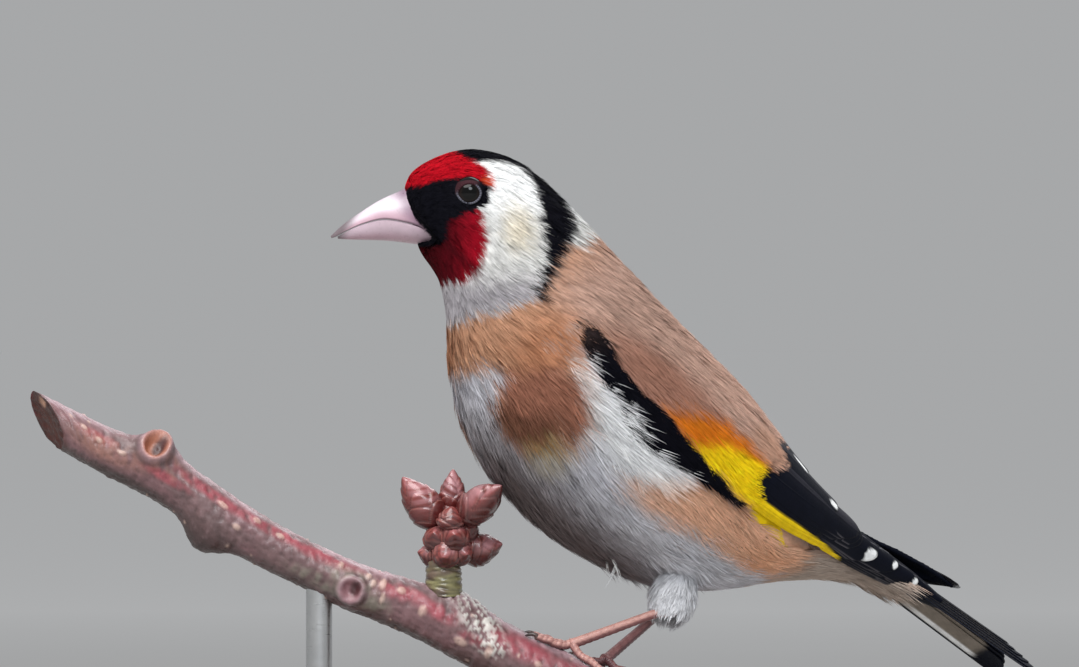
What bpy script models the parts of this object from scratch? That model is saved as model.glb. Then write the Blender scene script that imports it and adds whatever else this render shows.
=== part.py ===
"""A life-size goldfinch on a cut twig, held by a plain display stand.

Metres, +Z up. The origin is the centre of the stand's underside. The bird's body faces -Y with its left
side at +X. Its head is turned to its right, and the twig runs from front right to back left.
"""

import math

import bmesh
import bpy
import numpy as np
from mathutils import Vector

MM = 0.001
GAP = 0.3  # mm, between solids that meet
SIDES = {"left": 1.0, "right": -1.0}

# The bird's sections from the bill's base to the tail's base, in mm: back (y, z), belly (y, z), half
# width, and how far down its depth a section is widest.
FRONT = [
    (-19.8, 115.4, -17.6, 107.2, 3.5, 0.55),
    (-18.6, 117.8, -16.9, 106.0, 5.4, 0.53),
    (-15.9, 119.6, -15.9, 104.6, 7.2, 0.52),
    (-12.3, 120.8, -14.9, 102.8, 8.4, 0.52),
    (-8.6, 120.8, -14.3, 100.4, 9.0, 0.53),
    (-3.8, 119.1, -13.9, 97.6, 9.6, 0.54),
    (1.8, 114.4, -13.8, 94.8, 10.5, 0.53),
    (6.6, 109.4, -13.7, 91.3, 11.8, 0.50),
    (12.0, 103.9, -12.7, 86.8, 13.9, 0.48),
    (17.8, 98.8, -10.6, 81.2, 15.5, 0.47),
    (24.3, 93.5, -6.0, 74.8, 16.2, 0.46),
    (30.4, 88.1, 1.4, 68.3, 16.2, 0.46),
]
RUMP = [
    (35.0, 81.2, 10.2, 63.6, 15.0, 0.46),
    (39.4, 75.2, 18.6, 60.8, 12.6, 0.46),
    (43.6, 70.6, 27.3, 60.2, 9.4, 0.46),
    (47.8, 67.4, 36.8, 61.2, 7.0, 0.46),
    (51.4, 65.2, 45.0, 61.4, 5.4, 0.46),
    (54.4, 63.8, 51.4, 60.6, 4.6, 0.46),
]
# The hull of the two folded wings, which goes on from the last front section.
FOLDED = [
    (35.2, 82.8, 9.5, 63.4, 15.6, 0.45),
    (40.2, 77.6, 22.1, 61.6, 13.6, 0.45),
    (45.2, 73.6, 33.0, 60.8, 11.0, 0.45),
    (50.2, 70.2, 42.0, 60.6, 8.4, 0.45),
    (55.6, 67.0, 49.8, 60.0, 6.6, 0.45),
    (60.8, 64.0, 56.6, 58.8, 5.2, 0.45),
    (64.8, 61.4, 61.8, 57.4, 4.0, 0.45),
    (67.4, 59.6, 66.0, 56.2, 3.0, 0.45),
]
BODY = FRONT + RUMP
HULL = FRONT + FOLDED
HEAD_END, NECK_END, TRUNK_END = 4.6, 7.3, 17.0  # sections where the body is parted
PART_STEP = 0.05  # half the step between parted ends, in sections

HEAD_TURN = math.radians(-33.0)
TURN_ENDS, TURN_STARTS = 5.2, 9.6  # the turn builds up between these sections
NECK_AXIS_Y = -2.4

# A folded wing's edges on the hull: section, upper edge and lower edge in degrees from the back.
WING_EDGES = [
    (7.9, 74.0, 90.0),
    (8.8, 62.0, 97.0),
    (10.2, 46.0, 100.0),
    (12.0, 24.0, 101.0),
    (14.0, 10.0, 104.0),
    (16.0, 7.0, 114.0),
    (17.6, 9.0, 122.0),
    (18.9, 50.0, 96.0),
]
WING_THICK, WING_EDGE_THICK = 1.7, 0.6
WING_RISE = {"left": (-0.4, -0.6), "right": (3.6, 1.4)}  # how far back and up a wing's tip is carried
RISE_START, RISE_SPAN = 13.0, 6.0  # the section where that starts, and over how many sections it builds up
WING_GRID = (19, 7)
CUTTER_HEIGHT = 3.0  # how far the room for a wing reaches out over the hull
SECTION_STEP = 5.0  # mm from one section of the hull to the next, about

TAIL_BASE, TAIL_TIP = (54.8, 62.4), (80.2, 47.4)
TAIL_HALF_WIDTH = (4.4, 6.0)
TAIL_ARCH = (2.1, 2.3)
TAIL_ROLL = 0.10  # how far the tail's left side hangs lower, for each mm aside
TAIL_THICK = (1.9, 0.8)
TAIL_NOTCH = 4.5  # how much shorter the tail is in its middle than at its corners
TAIL_CORNER = 1.6  # how much its corners are rounded off

EYE_RADIUS = 2.3
EYE_PLACE = (6.35, -10.7, 114.9)
# The bill's sections: ridge (y, z), edge (y, z), half width.
UPPER_BILL = [
    (-20.0, 115.1, -18.7, 111.2, 3.2),
    (-23.0, 113.9, -22.4, 111.3, 2.5),
    (-25.7, 112.2, -25.3, 110.6, 1.75),
    (-27.8, 110.7, -27.3, 109.7, 1.1),
    (-29.7, 109.1, -29.3, 108.7, 0.35),
]
LOWER_BILL = [
    (-18.1, 108.1, -18.6, 110.9, 3.0),
    (-21.6, 108.4, -22.3, 111.0, 2.4),
    (-25.0, 108.5, -25.2, 110.3, 1.6),
    (-27.2, 108.5, -27.2, 109.4, 1.0),
    (-28.7, 108.3, -28.8, 108.6, 0.4),
]

# The twig's level heading, the level direction square to it on the bird's left, and how far from the origin
# the twig's middle stands in that direction. The table gives its middle: distance along, z and radius.
TWIG_HEADING = Vector((math.sin(math.radians(33.0)), math.cos(math.radians(33.0)), 0.0))
TWIG_ASIDE = Vector((TWIG_HEADING.y, -TWIG_HEADING.x, 0.0))
TWIG_OFFSET = -3.0
TWIG = [
    (-68.6, 84.0, 2.8),
    (-61.0, 80.0, 3.05),
    (-55.5, 77.5, 3.3),
    (-50.0, 74.4, 3.3),
    (-41.8, 68.8, 3.3),
    (-33.6, 64.4, 3.1),
    (-25.3, 60.6, 3.3),
    (-15.8, 57.0, 3.7),
    (2.1, 47.8, 4.2),
    (14.4, 43.3, 4.3),
    (26.7, 37.7, 4.1),
]
# The cut end's top reaches out by this and its foot falls short by as much, fading out along the twig.
TWIG_CUT_SLANT, TWIG_CUT_FADE = 2.6, 12
# Knobs on the bark: distance along, degrees from its top towards its left side, height and spread in mm.
KNOBS = [
    (-54.6, 20.0, 2.2, 2.6),
    (-44.6, 165.0, 2.4, 2.4),
    (-26.2, 110.0, 0.8, 2.4),
    (-12.6, 0.0, 1.0, 3.0),
]
# The buds on their stalk. The stalk: along, aside, z and radius; a bud: base, tip and half width.
BUD_STALK = [
    (-13.9, -3.0, 59.6, 2.4),
    (-13.9, -3.0, 66.0, 2.3),
    (-13.3, -2.9, 69.0, 2.1),
    (-12.9, -2.9, 71.6, 1.4),
]
BUDS = [
    ((-15.0, -3.0, 70.0), (-19.6, -3.0, 75.8), 2.3),
    ((-12.9, -3.6, 71.9), (-12.6, -4.0, 77.0), 1.6),
    ((-10.7, -1.0, 70.8), (-5.8, 3.8, 74.9), 2.2),
    ((-12.2, -1.6, 67.6), (-12.6, 2.2, 68.4), 1.9),
    ((-10.8, -3.4, 65.8), (-5.7, -3.4, 66.8), 2.2),
]

# Legs: the hip, the hem of the thigh's feathers and the ankle in mm, and the foot's place on the twig as
# distance along and degrees from its top.
LEGS = {
    "left": {
        "hip": (6.6, 20.0, 66.5),
        "hem": (6.4, 16.2, 57.2),
        "ankle": (6.3, 13.8, 57.2),
        "foot": (1.2, 8.0),
    },
    "right": {
        "hip": (-6.0, 25.0, 66.5),
        "hem": (-5.6, 24.2, 57.4),
        "ankle": (-5.2, 22.6, 57.2),
        "foot": (6.2, -22.0),
    },
}
THIGH_RADII, HEM_TAPER = (4.4, 3.0), 0.8
HEM_START = 0.14  # where the hem's room starts above it, as a share of the thigh
TARSUS_RADIUS, TOE_RADIUS, CLAW_RADIUS = 0.75, 0.62, 0.42
TARSUS_LIFT = 0.5  # from the bark to the underside of the tarsus
TARSUS_SWELL = 0.35  # how much thicker it is at its ends
TOE_ROOT_GAP = 0.35  # between the swollen foot of the tarsus and a toe, over and above the common gap
TOE_TAPER, CLAW_TIP_RADIUS = 0.8, 0.26
BARK_GAP = 0.1  # what toes and claws keep from the bark, over and above the common gap
# Where each toe ends on the twig, hind toe first: along, degrees.
TOE_ENDS = {
    "left": [(7.5, 48.0), (-3.2, 22.0), (-3.6, -22.0), (-1.6, -50.0)],
    "right": [(12.4, -24.0), (2.2, -30.0), (2.4, -66.0), (4.6, -96.0)],
}
CLAW_REACH = 0.36  # how much further than its toe a claw goes, as a share of the toe

STAND_RADIUS, STAND_HEIGHT, STAND_EDGE = 46.0, 9.0, 1.5
ROD_RADIUS = 1.8
ROD_PLACES = {"front": -31.0, "back": 14.5}

COLOURS = {
    "down": (0.45, 0.30, 0.18),
    "face": (0.45, 0.02, 0.02),
    "wing": (0.02, 0.02, 0.025),
    "bill": (0.72, 0.55, 0.50),
    "eye": (0.01, 0.008, 0.006),
    "leg": (0.42, 0.25, 0.21),
    "claw": (0.12, 0.08, 0.07),
    "bark": (0.25, 0.12, 0.12),
    "bud": (0.35, 0.10, 0.07),
    "steel": (0.55, 0.56, 0.58),
    "plinth": (0.20, 0.12, 0.07),
}
METALS = {"steel"}


def spline(rows, t):
    """Catmull-Rom through rows, at t in rows."""
    rows = np.asarray(rows, float)
    last = len(rows) - 1
    padded = np.vstack([2 * rows[0] - rows[1], rows, 2 * rows[-1] - rows[-2]])
    t = np.clip(np.asarray(t, float), 0, last)
    i = np.minimum(t.astype(int), last - 1)
    f = (t - i)[..., None]
    a, b, c, d = (padded[i + k] for k in range(4))
    return b + 0.5 * f * (c - a + f * (2 * a - 5 * b + 4 * c - d + f * (3 * (b - c) + d - a)))


def smooth_step(x):
    x = np.clip(x, 0, 1)
    return x * x * (3 - 2 * x)


def section_points(table, u, angle, grow=0.0):
    """Points of a lofted skin, angle in radians: 0 at the back and a quarter turn at the left side."""
    u, angle = np.broadcast_arrays(np.asarray(u, float), np.asarray(angle, float))
    row = spline(table, u)
    back, belly, width, widest = row[..., 0:2], row[..., 2:4], row[..., 4], row[..., 5]
    depth = np.linalg.norm(back - belly, axis=-1)
    up = (back - belly) / depth[..., None]
    above, below = depth * widest, depth * (1 - widest)
    middle = back - up * above[..., None]
    rise = (np.where(np.cos(angle) > 0, above, below) + grow) * np.cos(angle)
    side = (width + grow) * np.sin(angle)
    yz = middle + up * rise[..., None]
    return np.stack([side, yz[..., 0], yz[..., 1]], -1)


def turned(points, share):
    """The points turned with the head about the neck's upright axis, by a share of the whole turn."""
    angle = HEAD_TURN * share
    x, y = points[..., 0], points[..., 1] - NECK_AXIS_Y
    across = x * np.cos(angle) - y * np.sin(angle)
    along = x * np.sin(angle) + y * np.cos(angle) + NECK_AXIS_Y
    return np.stack([across, along, points[..., 2]], -1)


def body_points(table, u, angle, grow=0.0):
    u, angle = np.broadcast_arrays(np.asarray(u, float), np.asarray(angle, float))
    share = smooth_step((TURN_STARTS - u) / (TURN_STARTS - TURN_ENDS))
    return turned(section_points(table, u, angle, grow), share)


def with_head(points):
    return turned(np.asarray(points, float), 1.0)


def material(name):
    found = bpy.data.materials.get(name)
    if found:
        return found
    made = bpy.data.materials.new(name)
    made.use_nodes = True
    shader = made.node_tree.nodes["Principled BSDF"]
    shader.inputs["Base Color"].default_value = (*COLOURS[name], 1.0)
    shader.inputs["Metallic"].default_value = 1.0 if name in METALS else 0.0
    shader.inputs["Roughness"].default_value = 0.3 if name in METALS else 0.6
    return made


def add_object(name, points, faces, colour):
    """A mesh object from points in mm, with its faces turned outwards."""
    mesh = bpy.data.meshes.new(name)
    mesh.from_pydata([Vector(p) * MM for p in points], [], faces)
    shape = bmesh.new()
    shape.from_mesh(mesh)
    bmesh.ops.remove_doubles(shape, verts=shape.verts, dist=1e-6)
    bmesh.ops.recalc_face_normals(shape, faces=shape.faces)
    bmesh.ops.triangulate(shape, faces=[f for f in shape.faces if len(f.verts) > 3])
    shape.to_mesh(mesh)
    shape.free()
    mesh.shade_smooth()
    mesh.materials.append(material(colour))
    made = bpy.data.objects.new(name, mesh)
    bpy.context.collection.objects.link(made)
    return made


def loft(name, rings, colour, ends=None):
    """A closed skin over a grid of rings, with a fan at each end."""
    rings = np.asarray(rings, float)
    count, around = rings.shape[:2]
    if ends is None:
        ends = rings[0].mean(0), rings[-1].mean(0)
    points = [*rings.reshape(-1, 3), *ends]
    faces = []
    for i in range(count - 1):
        for j in range(around):
            k = (j + 1) % around
            faces.append((i * around + j, i * around + k, (i + 1) * around + k, (i + 1) * around + j))
    first, last = count * around, count * around + 1
    for j in range(around):
        k = (j + 1) % around
        faces.append((first, k, j))
        faces.append((last, (count - 1) * around + j, (count - 1) * around + k))
    return add_object(name, points, faces, colour)


def shell(name, outer, inner, colour):
    """A closed shell between two grids of the same shape."""
    rows, columns = outer.shape[:2]
    points = [*outer.reshape(-1, 3), *inner.reshape(-1, 3)]
    below = rows * columns
    faces = []
    for i in range(rows - 1):
        for j in range(columns - 1):
            quad = [i * columns + j, i * columns + j + 1, (i + 1) * columns + j + 1, (i + 1) * columns + j]
            faces.append(quad)
            faces.append([below + k for k in reversed(quad)])
    border = [j for j in range(columns)]
    border += [i * columns + columns - 1 for i in range(1, rows)]
    border += [(rows - 1) * columns + j for j in range(columns - 2, -1, -1)]
    border += [i * columns for i in range(rows - 2, 0, -1)]
    for a, b in zip(border, border[1:] + border[:1]):
        faces.append([b, a, below + a, below + b])
    return add_object(name, points, faces, colour)


def hide_cutter(cutter):
    cutter.hide_render = True
    cutter.display_type = "WIRE"
    return cutter


def cut(target, cutters):
    for cutter in cutters:
        boolean = target.modifiers.new("cut_" + cutter.name, "BOOLEAN")
        boolean.operation = "DIFFERENCE"
        boolean.solver = "EXACT"
        boolean.object = hide_cutter(cutter)


def body_length(name, table, start, end, around, steps, colour, grow=0.0):
    angles = np.linspace(0, 2 * np.pi, around, endpoint=False)
    u = np.linspace(start, end, steps)
    return loft(name, body_points(table, u[:, None], angles[None, :], grow), colour)


def wing_grid(side, level, swell, rows, columns):
    """A grid over a folded wing, level mm above the hull. Swell widens its outline, in mm."""
    edges = np.asarray(WING_EDGES, float)
    start, end = edges[0, 0], edges[-1, 0]
    u = np.linspace(start - swell / SECTION_STEP, end + swell / SECTION_STEP, rows)
    at = np.interp(np.clip(u, start, end), edges[:, 0], np.arange(len(edges)))
    edge = np.radians(spline(edges[:, 1:], at))
    across = np.linspace(0, 1, columns)[None, :]
    width = spline(HULL, u)[:, 4]
    upper = (edge[:, 0] - swell / width)[:, None]
    lower = (edge[:, 1] + swell / width)[:, None]
    angle = upper + (lower - upper) * across
    reach = smooth_step((u - RISE_START) / RISE_SPAN)[:, None, None]
    tip = np.array([0.0, *WING_RISE[side]])
    level = level(u[:, None], across) if callable(level) else level
    points = body_points(HULL, u[:, None], angle, level) + reach * tip
    return points * np.array([SIDES[side], 1.0, 1.0])


def wing_depth(u, across):
    """How deep the wing's inner face lies under the hull."""
    ends = np.clip((u - WING_EDGES[0][0]) / 1.5, 0, 1) * np.clip((WING_EDGES[-1][0] - u) / 5.0, 0, 1)
    return -WING_EDGE_THICK - (WING_THICK - WING_EDGE_THICK) * np.sqrt(ends) * np.sin(np.pi * across) ** 0.6


def make_wing(side):
    outer = wing_grid(side, 0.0, 0.0, *WING_GRID)
    inner = wing_grid(side, wing_depth, 0.0, *WING_GRID)
    return shell("wing_" + side, outer, inner, "wing")


def wing_cutter(side):
    outer = wing_grid(side, CUTTER_HEIGHT, GAP, *WING_GRID)
    inner = wing_grid(side, lambda u, across: wing_depth(u, across) - GAP, GAP, *WING_GRID)
    return shell("room_for_wing_" + side, outer, inner, "wing")


def make_tail():
    rows, columns = 9, 13
    base, tip = np.array(TAIL_BASE), np.array(TAIL_TIP)
    length = np.linalg.norm(tip - base)
    along = (tip - base) / length
    over = np.array([-along[1], along[0]])
    s = np.linspace(0, 1, rows)[:, None]
    v = np.linspace(-1, 1, columns)[None, :]
    reach = length - TAIL_NOTCH * (1 - np.abs(v)) - TAIL_CORNER * np.abs(v) ** 6
    half_width = TAIL_HALF_WIDTH[0] + (TAIL_HALF_WIDTH[1] - TAIL_HALF_WIDTH[0]) * s
    arch = (TAIL_ARCH[0] + (TAIL_ARCH[1] - TAIL_ARCH[0]) * s) * (1 - v**2)
    thick = (TAIL_THICK[0] + (TAIL_THICK[1] - TAIL_THICK[0]) * s) * (1 - 0.3 * v**4)
    grids = []
    for level in (thick / 2, -thick / 2):
        distance = s * reach
        x = half_width * v
        lift = arch + level - TAIL_ROLL * x
        y = base[0] + distance * along[0] + lift * over[0]
        z = base[1] + distance * along[1] + lift * over[1]
        grids.append(np.stack([x, y, z], -1))
    return shell("tail", grids[0], grids[1], "wing")


def tube(name, path, radii, sides, colour, end_reach=0.6):
    """A closed tube along a path, round or, with pairs of radii, oval."""
    path = np.asarray(path, float)
    radii = np.broadcast_to(np.asarray(radii, float), (len(path),))
    along = np.gradient(path, axis=0)
    along /= np.linalg.norm(along, axis=1)[:, None]
    side = np.cross(along[0], (0.0, 0.0, 1.0) if abs(along[0][2]) < 0.9 else (1.0, 0.0, 0.0))
    angles = np.linspace(0, 2 * np.pi, sides, endpoint=False)
    rings = []
    for point, radius, heading in zip(path, radii, along):
        side = side - heading * side.dot(heading)
        side /= np.linalg.norm(side)
        over = np.cross(side, heading)
        rings.append([point + radius * (math.cos(a) * side + math.sin(a) * over) for a in angles])
    ends = path[0] - along[0] * radii[0] * end_reach, path[-1] + along[-1] * radii[-1] * end_reach
    return loft(name, rings, colour, ends)


def spindle(base, tip, half_width, count, start=0.12, end=0.96):
    """A path and radii for a plump pointed shape."""
    t = np.linspace(start, end, count)
    path = np.asarray(base, float) + (np.asarray(tip, float) - np.asarray(base, float)) * t[:, None]
    return path, half_width * np.sin(np.pi * t**0.8) ** 0.6


def ball_path(centre, radius, axis, count=7):
    angles = np.linspace(0, np.pi, count + 2)[1:-1]
    path = np.asarray(centre, float) - np.cos(angles)[:, None] * np.asarray(axis, float) * radius
    return path, radius * np.sin(angles)


def make_eye(side):
    centre = with_head((SIDES[side] * EYE_PLACE[0], *EYE_PLACE[1:]))
    outwards = with_head((1.0, NECK_AXIS_Y, 0.0)) - np.array([0.0, NECK_AXIS_Y, 0.0])
    path, radii = ball_path(centre, EYE_RADIUS, outwards)
    return tube("eye_" + side, path, radii, 14, "eye", 0.0)


def eye_socket(side):
    """A round-bottomed hole for an eye, open towards its side."""
    outwards = SIDES[side] * (with_head((1.0, NECK_AXIS_Y, 0.0)) - np.array([0.0, NECK_AXIS_Y, 0.0]))
    centre = with_head((SIDES[side] * EYE_PLACE[0], *EYE_PLACE[1:]))
    radius = EYE_RADIUS + GAP
    angles = np.linspace(0.15, np.pi / 2, 6)
    path = [centre - outwards * radius * math.cos(a) for a in angles] + [centre + outwards * 6.0]
    radii = [radius * math.sin(a) for a in angles] + [radius]
    return tube("room_for_eye_" + side, path, radii, 14, "eye", 0.1)


def make_bill(name, rows, count=8, arc=9):
    """Half of the bill: a ridged arc over a flat edge, lofted to the tip."""
    at = np.linspace(0, len(rows) - 1, count)
    rings = []
    for ridge_y, ridge_z, edge_y, edge_z, width in spline(rows, at):
        ridge, edge = np.array([ridge_y, ridge_z]), np.array([edge_y, edge_z])
        angles = np.linspace(0, np.pi, arc)
        ring = [(width * math.cos(a), *(edge + (ridge - edge) * math.sin(a) ** 0.9)) for a in angles]
        ring += [(-width / 3, *edge), (width / 3, *edge)]
        rings.append(with_head(ring))
    return loft(name, rings, "bill")


def twig_row(along):
    table = np.asarray(TWIG)
    return spline(table, np.interp(along, table[:, 0], np.arange(len(table))))


def twig_point(along, degrees, lift=0.0):
    """A point lift mm over the bark, at an angle from the twig's top towards its left side."""
    distance, z, radius = twig_row(along)
    before, after = twig_row(along - 1.0), twig_row(along + 1.0)
    slope = math.atan2(after[1] - before[1], after[0] - before[0])
    heading, aside = np.array(TWIG_HEADING), np.array(TWIG_ASIDE)
    over = -heading * math.sin(slope) + np.array([0.0, 0.0, math.cos(slope)])
    centre = heading * distance + aside * TWIG_OFFSET + np.array([0.0, 0.0, z])
    angle = math.radians(degrees)
    for place, facing, height, spread in KNOBS:
        turn = (degrees - facing + 180.0) % 360.0 - 180.0
        away = math.hypot(along - place, math.radians(turn) * radius)
        radius += height * math.exp(-((away / spread) ** 2))
    return centre + (radius + lift) * (math.cos(angle) * over + math.sin(angle) * aside)


def twig_place(along, aside, z):
    return np.array(TWIG_HEADING) * along + np.array(TWIG_ASIDE) * aside + np.array([0.0, 0.0, z])


def make_perch(name="perch", grow=0.0, rows=34, sides=14):
    turns = np.linspace(0, 360, sides, endpoint=False)
    places = np.linspace(TWIG[0][0], TWIG[-1][0], rows)
    slants = TWIG_CUT_SLANT * np.linspace(1, 0, rows) ** TWIG_CUT_FADE
    outwards = -np.array(TWIG_HEADING)
    rings = []
    for place, slant in zip(places, slants):
        ring = []
        for turn in turns:
            shift = slant * math.cos(math.radians(turn))
            ring.append(twig_point(place, turn, grow) + shift * outwards)
        rings.append(ring)
    return loft(name, rings, "bark")


def make_buds():
    path = [twig_place(*row[:3]) for row in BUD_STALK]
    stalk = tube("bud_stalk", path, [row[3] for row in BUD_STALK], 12, "bud", 0.3)
    rooms = [make_perch("room_for_stalk", GAP)]
    for number, (base, tip, half_width) in enumerate(BUDS, 1):
        path, radii = spindle(twig_place(*base), twig_place(*tip), half_width, 6)
        tube(f"bud_{number}", path, radii, 10, "bud", 0.3)
        rooms.append(tube(f"room_for_bud_{number}", path, radii + GAP, 10, "bud", 0.5))
    cut(stalk, rooms)


def make_thigh(side):
    hip, hem = np.array(LEGS[side]["hip"]), np.array(LEGS[side]["hem"])
    t = np.linspace(0, 1, 7)[:, None]
    radii = THIGH_RADII[0] + (THIGH_RADII[1] - THIGH_RADII[0]) * t[:, 0]
    radii[-1] *= HEM_TAPER
    thigh = tube("thigh_" + side, hip + (hem - hip) * t, radii, 16, "down", 0.2)
    trunk_room = body_length("room_for_thigh_" + side, BODY, NECK_END, TRUNK_END, 24, 16, "down", GAP)
    cut(thigh, [trunk_room])


def make_leg(side):
    leg = LEGS[side]
    along, degrees = leg["foot"]
    ankle = np.array(leg["ankle"])
    foot = twig_point(along, degrees, TARSUS_RADIUS + TARSUS_LIFT)
    t = np.linspace(0, 1, 7)
    radii = TARSUS_RADIUS * (1 + TARSUS_SWELL * np.abs(2 * t - 1) ** 3)
    tarsus = tube("tarsus_" + side, ankle + (foot - ankle) * t[:, None], radii, 12, "leg")
    hem, hip = np.array(leg["hem"]), np.array(leg["hip"])
    grown = [THIGH_RADII[0] + GAP, THIGH_RADII[1] + GAP, THIGH_RADII[1] + GAP]
    path = [hip, hem + (hip - hem) * HEM_START, hem]
    cut(tarsus, [tube("room_for_tarsus_" + side, path, grown, 20, "down", 0.2)])
    for number, (end_along, end_degrees) in enumerate(TOE_ENDS[side], 1):
        make_toe(side, number, (along, degrees), (end_along, end_degrees))


def make_toe(side, number, start, end):
    """A toe along the bark from beside the tarsus, and the claw beyond it."""
    start, end = np.array(start), np.array(end)
    reach = np.linalg.norm(twig_point(*end) - twig_point(*start))
    tip_radius = TOE_RADIUS * TOE_TAPER
    end_reach = 0.4
    first = (TARSUS_RADIUS * (1 + TARSUS_SWELL) + TOE_RADIUS + GAP + TOE_ROOT_GAP) / reach
    t = np.linspace(first, 1, 5)
    path = [twig_point(*(start + (end - start) * k), TOE_RADIUS + GAP + BARK_GAP) for k in t]
    tube(f"toe_{side}_{number}", path, np.linspace(TOE_RADIUS, tip_radius, 5), 8, "leg", end_reach)
    after = 1 + ((tip_radius + CLAW_RADIUS) * end_reach + GAP) / reach
    t = np.linspace(after, 1 + CLAW_REACH, 5)
    rise = CLAW_RADIUS + GAP + BARK_GAP + 0.35 * np.sin(np.linspace(0.3, np.pi, 5))
    path = [twig_point(*(start + (end - start) * k), lift) for k, lift in zip(t, rise)]
    tube(f"claw_{side}_{number}", path, np.linspace(CLAW_RADIUS, CLAW_TIP_RADIUS, 5), 6, "claw", end_reach)


def make_stand():
    """A round base with two rods up to the twig."""
    heights = [0.0, 0.0, STAND_HEIGHT - STAND_EDGE, STAND_HEIGHT, STAND_HEIGHT]
    radii = [STAND_RADIUS * 0.5, STAND_RADIUS, STAND_RADIUS, STAND_RADIUS - STAND_EDGE, STAND_RADIUS * 0.5]
    turns = np.linspace(0, 2 * np.pi, 48, endpoint=False)
    rings = [[(r * math.cos(a), r * math.sin(a), h) for a in turns] for h, r in zip(heights, radii)]
    loft("stand_base", rings, "plinth")
    for place, along in ROD_PLACES.items():
        foot = twig_place(along, TWIG_OFFSET, STAND_HEIGHT + GAP)
        top = twig_place(along, TWIG_OFFSET, twig_row(along)[1])
        rod = tube("stand_rod_" + place, [foot, top], ROD_RADIUS, 16, "steel", 0.0)
        cut(rod, [make_perch("room_for_rod_" + place, GAP)])


def make_bird():
    head = body_length("head", BODY, 0.0, HEAD_END - PART_STEP, 28, 12, "face")
    cut(head, [eye_socket(side) for side in SIDES])
    neck = body_length("neck", BODY, HEAD_END + PART_STEP, NECK_END - PART_STEP, 28, 7, "down")
    trunk = body_length("trunk", BODY, NECK_END + PART_STEP, TRUNK_END, 32, 20, "down")
    wing_rooms = [wing_cutter(side) for side in SIDES]
    cut(trunk, wing_rooms)
    tail = make_tail()
    cut(tail, wing_rooms)
    make_bill("bill_upper", UPPER_BILL)
    make_bill("bill_lower", LOWER_BILL)
    for side in SIDES:
        make_eye(side)
        make_wing(side)
        make_thigh(side)
        make_leg(side)


def main():
    for old in list(bpy.data.objects):
        bpy.data.objects.remove(old, do_unlink=True)
    make_bird()
    make_perch()
    make_buds()
    make_stand()


main()
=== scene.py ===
import math

import bpy
import numpy as np
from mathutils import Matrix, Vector
from mathutils.kdtree import KDTree


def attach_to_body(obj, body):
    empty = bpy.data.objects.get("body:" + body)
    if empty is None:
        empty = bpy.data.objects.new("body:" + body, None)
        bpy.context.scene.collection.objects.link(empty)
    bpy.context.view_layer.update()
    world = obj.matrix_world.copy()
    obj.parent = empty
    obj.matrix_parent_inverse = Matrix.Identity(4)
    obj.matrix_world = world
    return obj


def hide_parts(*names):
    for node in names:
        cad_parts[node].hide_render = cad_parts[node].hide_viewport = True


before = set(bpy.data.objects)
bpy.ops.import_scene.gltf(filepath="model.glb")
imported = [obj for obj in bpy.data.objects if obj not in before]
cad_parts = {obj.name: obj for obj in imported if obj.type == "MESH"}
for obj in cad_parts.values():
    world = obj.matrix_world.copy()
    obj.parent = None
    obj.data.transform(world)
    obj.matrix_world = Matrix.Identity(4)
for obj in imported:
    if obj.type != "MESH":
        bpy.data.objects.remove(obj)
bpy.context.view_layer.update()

MM = 0.001
SIDES = {"left": 1.0, "right": -1.0}

# Sections of the body: back (y, z), belly (y, z), half width, and how far down the depth it is widest.
FRONT = [
    (-19.8, 115.4, -17.6, 107.2, 3.5, 0.55),
    (-18.6, 117.8, -16.9, 106.0, 5.4, 0.53),
    (-15.9, 119.6, -15.9, 104.6, 7.2, 0.52),
    (-12.3, 120.8, -14.9, 102.8, 8.4, 0.52),
    (-8.6, 120.8, -14.3, 100.4, 9.0, 0.53),
    (-3.8, 119.1, -13.9, 97.6, 9.6, 0.54),
    (1.8, 114.4, -13.8, 94.8, 10.5, 0.53),
    (6.6, 109.4, -13.7, 91.3, 11.8, 0.50),
    (12.0, 103.9, -12.7, 86.8, 13.9, 0.48),
    (17.8, 98.8, -10.6, 81.2, 15.5, 0.47),
    (24.3, 93.5, -6.0, 74.8, 16.2, 0.46),
    (30.4, 88.1, 1.4, 68.3, 16.2, 0.46),
]
RUMP = [
    (35.0, 81.2, 10.2, 63.6, 15.0, 0.46),
    (39.4, 75.2, 18.6, 60.8, 12.6, 0.46),
    (43.6, 70.6, 27.3, 60.2, 9.4, 0.46),
    (47.8, 67.4, 36.8, 61.2, 7.0, 0.46),
    (51.4, 65.2, 45.0, 61.4, 5.4, 0.46),
    (54.4, 63.8, 51.4, 60.6, 4.6, 0.46),
]
# The coverts that run out over the tail's base.
COVERTS = [
    (58.6, 62.2, 56.6, 58.6, 4.9, 0.48),
    (62.6, 59.8, 61.0, 56.3, 5.2, 0.48),
]
FOLDED = [
    (35.2, 82.8, 9.5, 63.4, 15.6, 0.45),
    (40.2, 77.6, 22.1, 61.6, 13.6, 0.45),
    (45.2, 73.6, 33.0, 60.8, 11.0, 0.45),
    (50.2, 70.2, 42.0, 60.6, 8.4, 0.45),
    (55.6, 67.0, 49.8, 60.0, 6.6, 0.45),
    (60.8, 64.0, 56.6, 58.8, 5.2, 0.45),
    (64.8, 61.4, 61.8, 57.4, 4.0, 0.45),
    (67.4, 59.6, 66.0, 56.2, 3.0, 0.45),
]
BODY = FRONT + RUMP
PLUMAGE = BODY + COVERTS
HULL = FRONT + FOLDED
TRUNK_END = 17.0

HEAD_TURN = math.radians(-33.0)
TURN_ENDS, TURN_STARTS = 5.2, 9.6
NECK_AXIS_Y = -2.4

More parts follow.
